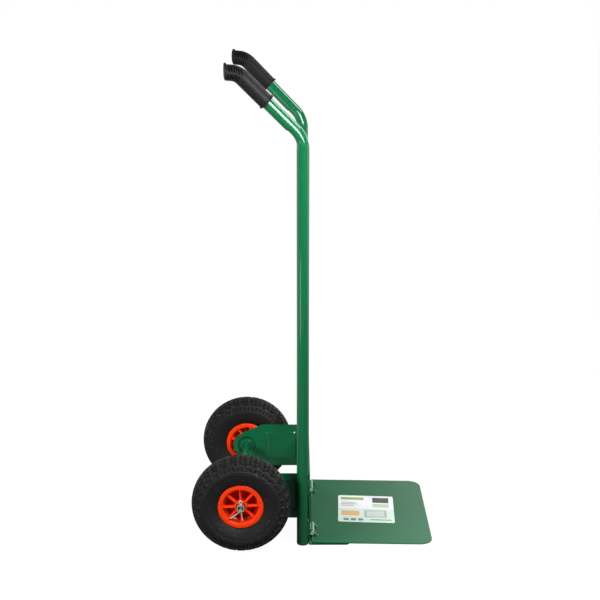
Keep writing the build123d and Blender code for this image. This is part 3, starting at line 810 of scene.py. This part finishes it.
# %% Tyre section
TYRE_R, TYRE_HALF_W = 130.0, 40.0
SHOULDER = (121.0, 34.0)
SIDEWALL_R, SIDEWALL_FOOT = 97.0, (61.6, 28.0)
BEAD_R, BEAD_HALF_W, BEAD_TOE_HALF_W = 51.0, 24.2, 17.0
TYRE_WALL, CROWN_WALL = 6.5, 8.0
BAND_RADII, LUG_FOOT_R, BEAD_RINGS_R = (92.0, 103.5), 102.0, 70.0
# Steps along the outline. Away from lugs, edges and rings, only every few points of the wall are kept
CROWN_STEP, WALL_STEP, LINING_STEP = 1.25, 0.9, 14.0
RING_EVERY, PLAIN_EVERY, EDGE_REACH = 2, 5, 1.5
CROWN_GAP, LINING_GAP = 0.2, 0.1


def tyre_section():
    """Half the outer outline from the crown to the bead, and half the inner one back to the crown."""
    mirrored = (SHOULDER[0], -SHOULDER[1])
    crown = arc_through(mirrored, (TYRE_R, 0), SHOULDER, CROWN_STEP)
    crown = crown[crown[:, 1] > CROWN_GAP]
    wall = arc_through(SHOULDER, (SIDEWALL_R, TYRE_HALF_W), SIDEWALL_FOOT, WALL_STEP)[1:]
    count = np.arange(len(wall))
    lugs_and_edges = (wall[:, 0] > LUG_FOOT_R) | (np.abs(wall[:, 0] - BAND_RADII[0]) < EDGE_REACH)
    bead_rings = (wall[:, 0] < BEAD_RINGS_R) & (count % RING_EVERY == 0)
    wall = wall[lugs_and_edges | bead_rings | (count % PLAIN_EVERY == 0)]
    bead = np.array([(SIDEWALL_FOOT[0], BEAD_HALF_W), (BEAD_R, BEAD_HALF_W), (BEAD_R, BEAD_TOE_HALF_W)])
    toe = (SIDEWALL_FOOT[0] - TYRE_WALL / 2, BEAD_TOE_HALF_W)
    shoulder = (SHOULDER[0] - TYRE_WALL, SHOULDER[1] - TYRE_WALL)
    inner = arc_through(toe, (SIDEWALL_R, TYRE_HALF_W - TYRE_WALL), shoulder, LINING_STEP)
    top = np.array([(TYRE_R - CROWN_WALL, LINING_GAP)])
    return np.concatenate([crown, wall, bead]), np.concatenate([inner, top])


outer_half, inner_half = tyre_section()
print("tyre section", len(outer_half), "outer and", len(inner_half), "inner points on each half")

# %% Tread pattern
PITCHES = 30
PITCH_MM = 2 * np.pi * TYRE_R / PITCHES
GROOVE_DEPTH, GROOVE_EDGE, GROOVE_HALF = 3.2, 1.0, 1.3
LINE_SPACING, LINE_SWING, OUTER_LINE = 16.0, 5.0, 2
LINE_LEAN = np.cos(np.arctan(4 * LINE_SWING / PITCH_MM))
CUT_HALF = 1.0
PIT_START, PIT_END, PIT_EDGE = 42.0, 53.0, 1.2
PIT_HALF, PIT_DEPTH, PIT_SLOT_HALF, PIT_SLOT_DEPTH = 6.9, 1.2, 1.2, 3.0


def zigzag(turns):
    """A triangle wave: +1 at whole turns, -1 half way between."""
    return 4 * np.abs(turns - np.floor(turns) - 0.5) - 1


def groove(off_middle, half):
    """1 in a groove and 0 outside it, with sloping walls."""
    return smooth_step((half - off_middle) / GROOVE_EDGE + 0.5)


def off_line(turns):
    """Millimetres round the tread to the nearest whole turn of the pattern."""
    return np.abs(turns - np.round(turns)) * PITCH_MM


def tread_depth(turns, across):
    """Depth of the grooves, where turns counts pattern pitches and across is in millimetres.

    Zigzag grooves run at every line spacing, short cuts join them at each corner, and a shallow pit with
    two deeper slots lies on the shoulder wherever the last groove is nearest the crown.
    """
    side = np.where(across < 0, 0.5, 0.0)
    reach = np.abs(across)
    past_middle = reach - LINE_SWING * zigzag(turns + side)
    nearest = np.clip(np.round(past_middle / LINE_SPACING), 0, OUTER_LINE) * LINE_SPACING
    lines = groove(np.abs(past_middle - nearest) * LINE_LEAN, GROOVE_HALF)
    cuts = groove(off_line(2 * turns) / 2, CUT_HALF) * (past_middle < OUTER_LINE * LINE_SPACING)
    off_corner = off_line(turns + side + 0.5)
    in_pit = smooth_step((reach - PIT_START) / PIT_EDGE) * smooth_step((PIT_END - reach) / PIT_EDGE)
    floor_of_pit = PIT_DEPTH * groove(off_corner, PIT_HALF)
    slots = PIT_SLOT_DEPTH * groove(np.abs(off_corner - PIT_HALF), PIT_SLOT_HALF)
    return np.maximum(GROOVE_DEPTH * np.maximum(lines, cuts), in_pit * np.maximum(floor_of_pit, slots))


print("tread pitch", round(PITCH_MM, 2), "mm")

# %% Tyres
COLUMNS_PER_PITCH, TYRE_SHARP_DEGREES = 20, 50
BAND_RISE, BAND_EDGE = 0.8, 1.2
# Rings near the bead: radius, half width and height
BEAD_RINGS = ((64.5, 0.9, 0.8), (68.0, 0.9, 0.5))


def wall_height(radius):
    """Height of the raised lines on the sidewall: a flat band with crisp edges, and rings near the bead.

    A ring is height x exp(-(off / width)^2), where off is the distance from its middle.
    """
    inner, outer = (smooth_step((radius - edge) / BAND_EDGE + 0.5) for edge in BAND_RADII)
    rings = sum(tall * np.exp(-(((radius - at) / wide) ** 2)) for at, wide, tall in BEAD_RINGS)
    return BAND_RISE * (inner - outer) + rings


def on_wheel(side, radius, out, angle):
    """Points of a turned shape: radius and angle about the axle, out along it from the wheel's middle."""
    return spread(AXLE_X + radius * np.cos(angle), side * (TRACK_HALF + out), AXLE_Z + radius * np.sin(angle))


def tyre_skin(side):
    """The closed section turned about the axle, lowered along its normal by the tread's depth."""
    outer = np.concatenate([outer_half[::-1] * (1, -1), [(TYRE_R, 0)], outer_half])
    inner = np.concatenate([inner_half, inner_half[::-1] * (1, -1)])
    across = lengths(outer)
    across = across - across[len(outer_half)]
    ahead = unit(np.gradient(outer, axis=0))
    normal = np.stack([ahead[:, 1], -ahead[:, 0]], -1)
    angle = around(COLUMNS_PER_PITCH * PITCHES)
    depth = tread_depth(angle[None, :] * PITCHES / (2 * np.pi), across[:, None])
    height = wall_height(outer[:, 0]) * (np.abs(outer[:, 1]) > BEAD_HALF_W)
    lift = height[:, None] - depth
    radius = outer[:, :1] + normal[:, :1] * lift
    out = outer[:, 1:] + normal[:, 1:] * lift
    tread = on_wheel(side, radius, out, angle[None, :])
    lining = on_wheel(side, inner[:, :1], inner[:, 1:], angle[None, :])
    return skin(np.concatenate([tread, lining]), ring=True)


for name, side in SIDES.items():
    tyre, wheel, replaced = [tyre_skin(side)], f"{name}_wheel", [f"{name}_tyre"]
    build(f"{name}_block_tyre", tyre, tyre_rubber, wheel, replaced, TYRE_SHARP_DEGREES)

# %% [markdown]
# ## Rims
# A moulded rim has a rounded lip, a sloping wall down to a thin web, a hub and eight ribs on each face. Its
# hollows could be cut from a solid block, but cuts leave sharp corners. So the wall, web and hub are one
# outline turned about the axle, with every corner rounded as a mould needs, and a rib is a thin rounded bar
# whose outer end follows the wall.

# %% Rim section
RIM_HALF_W, LIP_R, LIP_INNER_R, LIP_T = 29.0, 61.0, 48.0, 4.5
SEAT_R, WELL_R, WELL_HALF_W, RIM_WALL = 50.8, 43.0, 9.0, 4.6
WEB_HALF_T, HUB_R, HUB_BORE_R = 2.5, 15.8, 12.0
WELL_SLOPE, LIP_STEP = 0.7, 2.0
SEAT_HALF_W = WELL_HALF_W + (SEAT_R - WELL_R) * WELL_SLOPE
RIM_STEP = 1.1


def rim_section():
    """The rim's outline, both faces: radius, place across the rim and rounding of each corner."""
    half = [
        (HUB_BORE_R, RIM_HALF_W, 0.6),
        (HUB_R, RIM_HALF_W, 0.9),
        (HUB_R, WEB_HALF_T, 2.5),
        (WELL_R - RIM_WALL, WEB_HALF_T, 2.5),
        (WELL_R - RIM_WALL, WELL_HALF_W, 2.0),
        (SEAT_R - RIM_WALL, SEAT_HALF_W, 4.0),
        (SEAT_R - RIM_WALL, RIM_HALF_W - LIP_T - LIP_STEP, 2.0),
        (LIP_INNER_R, RIM_HALF_W, 3.2),
        (LIP_R, RIM_HALF_W, 3.6),
        (LIP_R, RIM_HALF_W - LIP_T, 0.6),
        (SEAT_R, RIM_HALF_W - LIP_T, 1.0),
        (SEAT_R, SEAT_HALF_W, 1.5),
        (WELL_R, WELL_HALF_W, 1.5),
    ]
    other = [(radius, -out, rounding) for radius, out, rounding in reversed(half)]
    loop = np.array(half + other)
    start = (loop[0] + loop[-1]) / 2
    corners = np.concatenate([[start[:2]], loop[:, :2], [start[:2]]])
    section, _ = rounded_path(np.pad(corners, ((0, 0), (0, 1))), loop[:, 2], RIM_STEP)
    return section[:-1, :2]


rim_outline = rim_section()
print("rim section", len(rim_outline), "points")

# %% Rims
RIB_COUNT, RIB_HALF_T, RIB_HALF_W = 8, 2.0, 26.0
# A rib is rounded along its edge and thickens by a draft down to its waist at mid wheel
RIB_ROUND, RIB_DRAFT, RIB_WAIST, RIB_ROWS = 1.0, 0.7, 0.5, 4
RIM_SIDES = 144
WHEEL_TURN = {"right": np.radians(2.5), "left": np.radians(32.0)}


def rib_skin(side, turn):
    """A rounded bar's section, carried from the hub out to the wall at each place across the rim."""
    rounding = RIB_ROUND * np.stack([np.cos(CORNER), np.sin(CORNER)], -1)
    quarter = np.array([RIB_HALF_T, RIB_HALF_W]) - RIB_ROUND + rounding
    quarter = np.concatenate([[(RIB_HALF_T + RIB_DRAFT, RIB_WAIST)], quarter])
    half = np.concatenate([quarter, (quarter * (-1, 1))[::-1]])
    section = np.concatenate([half, -half])
    wall = np.interp(np.abs(section[:, 1]), [WELL_HALF_W, SEAT_HALF_W], [WELL_R, SEAT_R]) - RIM_WALL / 2
    root = (HUB_BORE_R + HUB_R) / 2
    radius = root + np.linspace(0, 1, RIB_ROWS)[:, None] * (wall - root)
    forward = on_wheel(side, radius, section[:, 1], turn)
    aside = np.array([-np.sin(turn), 0, np.cos(turn)])
    return skin(forward + section[:, 0][:, None] * aside)


def rim_skins(side, turn):
    """The outline turned about the axle, and the ribs at even steps of a turn."""
    angle = around(RIM_SIDES)[None, :]
    body = skin(on_wheel(side, rim_outline[:, :1], rim_outline[:, 1:], angle), ring=True)
    ribs = [rib_skin(side, turn + step) for step in around(RIB_COUNT)]
    return [body, *ribs]


for name, side in SIDES.items():
    rim, wheel, replaced = rim_skins(side, WHEEL_TURN[name]), f"{name}_wheel", [f"{name}_rim"]
    build(f"{name}_moulded_rim", rim, rim_plastic, wheel, replaced)

# %% [markdown]
# ## Weld beads
# The frame is welded and then painted, so beads show as rippled green ropes in the corners. A row of small
# balls could stand for one, but a bead is one piece: a round section carried along its seam. Its radius
# swells a little every few millimetres, because the weld pool freezes in steps, and it falls away at both
# ends.

# %% Shape of a bead
RIPPLE_MM, RIPPLE = 2.6, 0.16
BEAD_END, BEAD_END_RUN = 0.35, 3.0
BEAD_STEP, BEAD_SIDES = 0.65, 12


def bead_skin(path, aside, radius, closed=False):
    """A round section on a seam, with a frame of two directions across it and a rippling radius."""
    path = np.asarray(path, float)
    along = lengths(path)
    ahead = unit(np.gradient(path, axis=0))
    if closed:
        ahead = unit(np.roll(path, -1, 0) - np.roll(path, 1, 0))
    aside = unit(np.broadcast_to(aside, path.shape))
    up = np.cross(ahead, aside)
    ripple = 1 + RIPPLE * (np.mod(along / RIPPLE_MM, 1) - 0.5)
    from_end = smooth_step(np.minimum(along, along[-1] - along) / BEAD_END_RUN)
    ends = 1.0 if closed else BEAD_END + (1 - BEAD_END) * from_end
    size = (radius * ripple * ends)[:, None, None]
    spokes = fan(around(BEAD_SIDES), aside[:, None], up[:, None])
    return skin(path[:, None] + spokes * size, ring=closed)


def seam(first, last):
    """Points of a straight seam."""
    first, last = np.asarray(first, float), np.asarray(last, float)
    count = int(np.linalg.norm(last - first) / BEAD_STEP) + 2
    return first + np.linspace(0, 1, count)[:, None] * (last - first)


# %% Frame beads
RUNG_R, RUNG_HEIGHTS = 12.5, (270.0, 640.0, 1010.0)
RUNG_BEAD, AXLE_BEAD, FRAME_BEAD = 2.6, 3.0, 2.6
FLANGE_BACK_X = UPRIGHT_X + TUBE_R
# Beads lie this far to both sides of an upright's middle, and this far off the sheet
BEAD_OFF, BEAD_RISE = 9.0, 1.6
COLLAR_R, COLLAR_SINK = 12.4, 0.4
RUNG_SEAM_POINTS, AXLE_SEAM_POINTS = 150, 120
# Heights at which the beads along an upright start and end
FLANGE_WELDS = ((24, 74), (128, 186))
BRACKET_WELDS = ((70, 118), (146, 191))


def rung_seam(side, height):
    """Where a rung meets an upright: two round tubes cross in a saddle, Y = sqrt(R^2 - (r cos t)^2)."""
    t = around(RUNG_SEAM_POINTS)
    x, z = RUNG_R * np.cos(t), RUNG_R * np.sin(t)
    return spread(UPRIGHT_X + x, side * (UPRIGHT_HALF - np.sqrt(TUBE_R**2 - x**2)), height + z)


def axle_seam(side):
    """A ring round the axle on the bracket's inner face, in the bottom of the boss."""
    t = around(AXLE_SEAM_POINTS)
    inner_face = BRACKET_Y - SHEET + BOSS_DEPTH
    out = side * (inner_face - COLLAR_SINK)
    return spread(AXLE_X + COLLAR_R * np.cos(t), out, AXLE_Z + COLLAR_R * np.sin(t))


def upright_bead(x, y, low, high):
    """A straight bead that climbs along an upright."""
    return bead_skin(seam((x, y, low), (x, y, high)), SIDEWAYS, FRAME_BEAD)


frame_beads = []
for side in SIDES.values():
    frame_beads += [bead_skin(rung_seam(side, z), SIDEWAYS, RUNG_BEAD, closed=True) for z in RUNG_HEIGHTS]
    frame_beads.append(bead_skin(axle_seam(side), SIDEWAYS, AXLE_BEAD, closed=True))
    for off in (-BEAD_OFF, BEAD_OFF):
        x, y = FLANGE_BACK_X - BEAD_RISE, side * UPRIGHT_HALF + off
        frame_beads += [upright_bead(x, y, *span) for span in FLANGE_WELDS]
        x, y = UPRIGHT_X + off, side * (BRACKET_Y + BEAD_RISE)
        frame_beads += [upright_bead(x, y, *span) for span in BRACKET_WELDS]
build("frame_weld_beads", frame_beads, powder_coat, "frame")

# %% Hinge beads
HINGE_X, HINGE_Z, HINGE_STATION = -2.5, 16.5, 140.0
HINGE_BEAD, HINGE_BEAD_REACH, HINGE_BEAD_OFF, HINGE_BEAD_RISE = 2.2, 22.0, 1.2, 4.6
FLANGE_FRONT_X = FLANGE_BACK_X + SHEET
hinge_beads = []
for side in SIDES.values():
    middle = side * HINGE_STATION
    for rise in (HINGE_BEAD_RISE, -HINGE_BEAD_RISE):
        x, z = FLANGE_FRONT_X + HINGE_BEAD_OFF, HINGE_Z + rise
        line = seam((x, middle - HINGE_BEAD_REACH, z), (x, middle + HINGE_BEAD_REACH, z))
        hinge_beads.append(bead_skin(line, (0, 0, 1), HINGE_BEAD))
build("hinge_weld_beads", hinge_beads, powder_coat, "frame")

# %% [markdown]
# ## A printed sticker on the toe plate
# A thin vinyl sticker lies on the plate. It is a rounded rectangle with a little thickness. A picture could
# be laid on it, but its print is plain colour blocks, which need only arithmetic: a material compares the
# place on the sticker with each block's middle and half size. A Mapping node moves the Object coordinates
# to the sticker's middle and turns them.

# %% Print
STICKER_MIDDLE, STICKER_TURN = (151.5, 5.5), np.radians(-2.0)
# Each block: middle and size in millimetres from the sticker's middle, and its colour
PRINT_BLOCKS = (
    ((0, -43.5), (157, 86), "#DDF3E6"),
    ((-38, 66), (64, 16), "#8FB35A"),
    ((-50, 40), (40, 4), "#8C9290"),
    ((-46, 30), (48, 4), "#8C9290"),
    ((-52, 20), (36, 4), "#8C9290"),
    ((42, 58), (46, 34), "#4B4C4B"),
    ((42, 22), (46, 22), "#C7D7B0"),
    ((-44, -30), (50, 30), "#F2B877"),
    ((26, -32), (62, 46), "#AEB8B2"),
    ((26, -32), (50, 34), "#D5DCD7"),
    *(((x, -70), (14, 14), "#7B827E") for x in (-56, -36, -16)),
    ((40, -70), (58, 6), "#6FA05C"),
)

label_vinyl = new_finish("printed gloss vinyl")
label_move = {
    "Vector": add_node(label_vinyl, "TexCoord").outputs["Object"],
    "Location": (STICKER_MIDDLE[0] * MM, STICKER_MIDDLE[1] * MM, 0),
    "Rotation": (0, 0, STICKER_TURN),
}
label_place = add_node(label_vinyl, "Mapping", label_move, vector_type="TEXTURE").outputs[0]
print_colour = linear("#FAFAFC")
for middle, size, colour in PRINT_BLOCKS:
    centre = (middle[0] * MM, middle[1] * MM, 0)
    off = add_node(label_vinyl, "VectorMath", (label_place, centre), operation="SUBTRACT").outputs[0]
    away = add_node(label_vinyl, "VectorMath", (off,), operation="ABSOLUTE").outputs[0]
    apart = add_node(label_vinyl, "SeparateXYZ", (away,)).outputs
    wide = add_node(label_vinyl, "Math", (apart["X"], size[0] * MM / 2), operation="LESS_THAN").outputs[0]
    tall = add_node(label_vinyl, "Math", (apart["Y"], size[1] * MM / 2), operation="LESS_THAN").outputs[0]
    inked = add_node(label_vinyl, "Math", (wide, tall), operation="MULTIPLY").outputs[0]
    ink = {MIX_FACTOR: inked, MIX_FIRST: print_colour, MIX_SECOND: linear(colour)}
    print_colour = add_node(label_vinyl, "Mix", ink, data_type="RGBA").outputs[MIX_COLOUR]
cover(label_vinyl, {"Base Color": print_colour, "Roughness": 0.3, "Normal": grain(label_vinyl, 6, 0.02)})
print(label_vinyl.name, "with", len(PRINT_BLOCKS), "blocks")

# %% Sticker
# The plate's top lies below the hinge's axis and slopes down from it
PLATE_SLOPE, PLATE_TOP = np.radians(0.9769), -8.0
STICKER_SIZE, STICKER_CORNER = (157.0, 173.0), 5.0
STICKER_STEP, STICKER_GAP, STICKER_T = 4.0, 0.05, 0.3


def sticker_skin():
    """A rounded rectangle, turned, as a low slab on the sloping plate.

    At a run from the hinge the plate is run x sin(slope) lower, and a rise off it counts cos(slope) upwards.
    """
    wide, tall = np.array(STICKER_SIZE) / 2
    box = [(wide, 0), (wide, tall), (-wide, tall), (-wide, -tall), (wide, -tall), (wide, 0)]
    outline, _ = rounded_path(np.pad(np.array(box), ((0, 0), (0, 1))), [STICKER_CORNER] * 4, STICKER_STEP)
    along, aside = np.cos(STICKER_TURN), np.sin(STICKER_TURN)
    x, y = (outline[:-1, :2] @ np.array([[along, aside], [-aside, along]]) + STICKER_MIDDLE).T
    rise = np.array([STICKER_GAP, STICKER_T])[:, None] + PLATE_TOP
    run = (x - HINGE_X - PLATE_TOP * np.sin(PLATE_SLOPE)) / np.cos(PLATE_SLOPE)
    return skin(spread(x, y, HINGE_Z - run * np.sin(PLATE_SLOPE) + rise * np.cos(PLATE_SLOPE)))


build("toe_sticker", [sticker_skin()], label_vinyl, "folding_toe")

# %% [markdown]
# ## Floor and light
# The floor is a plain pale sheet that keeps the truck's shadow. It is a diffuse surface with a little
# light of its own, so that it reads as a white page without more light on the truck. The room behind the
# truck is white too, but a studio is dark behind the camera, and shiny paint shows it: its faces look
# deep in colour while its edges turn pale. So mirror rays see a page that fades towards the camera and is
# paler to the sides. Behind the truck on the right they also see a bright window, the toe plate's sheen.

# %% Light of a white page


def page_light(owner, direct, mirrored, other):
    """The light of a page for camera rays, for glossy and transmission rays, and for all other rays.

    A ray's kind is 0 or 1, so a range that starts and ends there chooses between two numbers.
    """
    ray = add_node(owner, "LightPath").outputs
    mirrors = (ray["Is Glossy Ray"], ray["Is Transmission Ray"])
    in_mirror = add_node(owner, "Math", mirrors, operation="MAXIMUM").outputs[0]
    unseen = add_node(owner, "MapRange", (in_mirror, 0.0, 1.0, other, mirrored)).outputs[0]
    return add_node(owner, "MapRange", (ray["Is Camera Ray"], 0.0, 1.0, unseen, direct)).outputs[0]


# %% Floor
GLOW_NEAR, GLOW_FAR, GLOW_START, GLOW_END = 0.96, 1.0, 0.7, 2.2
# In a mirror the page goes from dark to white over these metres behind, where aside counts for a share
FRONT_DARK, PAGE_START, PAGE_END, PAGE_ASIDE = 0.035, -0.5, 2.5, 0.5
FLOOR_HALF, FLOOR_DROP = 30.0, 0.0004

floor_paper = new_finish("matt white paper")
floor_place = add_node(floor_paper, "TexCoord").outputs["Object"]
floor_away = add_node(floor_paper, "VectorMath", (floor_place,), operation="LENGTH").outputs["Value"]
glow_span = (floor_away, GLOW_START, GLOW_END, GLOW_NEAR, GLOW_FAR)
floor_direct = add_node(floor_paper, "MapRange", glow_span, **SOFT).outputs[0]
floor_apart = add_node(floor_paper, "SeparateXYZ", (floor_place,)).outputs
floor_aside = add_node(floor_paper, "Math", (floor_apart["X"],), operation="ABSOLUTE").outputs[0]
floor_sum = (floor_aside, PAGE_ASIDE, floor_apart["Y"])
floor_behind = add_node(floor_paper, "Math", floor_sum, operation="MULTIPLY_ADD").outputs[0]
page_span = (floor_behind, PAGE_START, PAGE_END, FRONT_DARK, 1.0)
floor_mirrored = add_node(floor_paper, "MapRange", page_span, **SOFT).outputs[0]
floor_glow = page_light(floor_paper, floor_direct, floor_mirrored, 0.0)
floor_matt = add_node(floor_paper, "BsdfDiffuse", {"Color": linear("#505050")}).outputs[0]
floor_light = add_node(floor_paper, "Emission", {"Color": WHITE, "Strength": floor_glow}).outputs[0]
floor_both = add_node(floor_paper, "AddShader", (floor_matt, floor_light)).outputs[0]
add_node(floor_paper, "OutputMaterial", {"Surface": floor_both})

floor_mesh = bpy.data.meshes.new("floor")
floor_corners = np.array([(-1, -1, 0), (1, -1, 0), (1, 1, 0), (-1, 1, 0)]) * FLOOR_HALF
floor_mesh.from_pydata(floor_corners - (0, 0, FLOOR_DROP), [], [(0, 1, 2, 3)])
floor_mesh.materials.append(floor_paper)
floor = bpy.data.objects.new("floor", floor_mesh)
scene.collection.objects.link(floor)
print("floor", 2 * FLOOR_HALF, "m square")

# %% Room
ROOM = 0.08
# Limits of a ray's direction: Z for the sky's fall, Y from front to back, X from left to right
SKY_START, SKY_END, SKY_HIGH = 0.0, 0.35, 0.1
SKY_FRONT, SKY_BACK = -0.1, 0.9
GLARE_START, GLARE_END, GLARE_LOW, GLARE_HIGH = -0.02, 0.3, 0.05, 2.0
GLARE_FRONT, GLARE_BACK = 0.6, 0.9

world = blank(bpy.data.worlds.new("studio"))
scene.world = world
world_ray = add_node(world, "TexCoord").outputs["Generated"]
world_way = add_node(world, "SeparateXYZ", (world_ray,)).outputs
world_spans = (
    (world_way["Z"], SKY_START, SKY_END, 1.0, SKY_HIGH),
    (world_way["Y"], SKY_FRONT, SKY_BACK, FRONT_DARK, 1.0),
    (world_way["X"], GLARE_START, GLARE_END, GLARE_LOW, GLARE_HIGH),
    (world_way["Y"], GLARE_FRONT, GLARE_BACK, 0.0, 1.0),
)
world_eased = [add_node(world, "MapRange", span, **SOFT).outputs[0] for span in world_spans]
sky_fall, sky_behind, glare_side, glare_behind = world_eased
sky_plain = add_node(world, "Math", (sky_fall, sky_behind), operation="MULTIPLY").outputs[0]
sky_sum = (glare_side, glare_behind, sky_plain)
sky_mirrored = add_node(world, "Math", sky_sum, operation="MULTIPLY_ADD").outputs[0]
sky_light = page_light(world, 1.0, sky_mirrored, ROOM)
room = add_node(world, "Background", {"Color": WHITE, "Strength": sky_light}).outputs[0]
add_node(world, "OutputWorld", {"Surface": room})
print(world.name, "room light", ROOM)

# %% [markdown]
# ## Lamps
# One large lamp in front could light it all, but it would fill hollows such as the rims' recesses. So two
# soft boxes stand left and right, well aside. A small one high on the right lifts the handles, and two
# behind light the far edges and the truck's back. What shines in the paint is set apart: four boxes that
# only mirror rays see draw the thin pale lines along the bent tubes and the pressed edges.

# %% Lamps


def soft_box(name, place, target, width, height, watts, glint=False):
    """An area lamp that looks from a place to a target. A glint lamp only shows in shiny surfaces."""
    lamp = bpy.data.lights.new(name, "AREA")
    lamp.shape = "RECTANGLE"
    lamp.size, lamp.size_y = width, height
    lamp.energy = watts
    holder = bpy.data.objects.new(name, lamp)
    holder.location = place
    look = Vector(target) - Vector(place)
    holder.rotation_euler = look.to_track_quat("-Z", "Y").to_euler()
    holder.visible_camera = False
    holder.visible_diffuse = not glint
    holder.visible_glossy = glint
    scene.collection.objects.link(holder)
    print(name, watts, "W")


MIDDLE = (0.0, 0.0, 0.6)
HANDLES = (-0.1, 0.0, 1.15)
soft_box("left_box", (-1.5, -1.0, 1.0), MIDDLE, 0.5, 0.7, 30)
soft_box("right_box", (0.8, -1.0, 1.4), MIDDLE, 0.4, 0.4, 17)
soft_box("high_box", (0.4, -0.8, 1.45), MIDDLE, 0.3, 0.3, 9)
soft_box("back_box", (1.2, 0.6, 1.0), MIDDLE, 0.3, 0.6, 7)
soft_box("rear_box", (-1.0, 1.7, 0.9), MIDDLE, 0.6, 0.8, 22)
soft_box("right_glint", (0.79, -1.5, 1.4), HANDLES, 0.8, 0.8, 46, glint=True)
soft_box("back_glint", (1.1, 0.35, 2.2), HANDLES, 0.5, 0.7, 14, glint=True)
soft_box("left_glint", (-1.4, -1.4, 1.1), MIDDLE, 0.25, 0.35, 6, glint=True)
soft_box("low_glint", (-1.45, -1.5, 0.13), HANDLES, 0.35, 0.35, 2.5, glint=True)
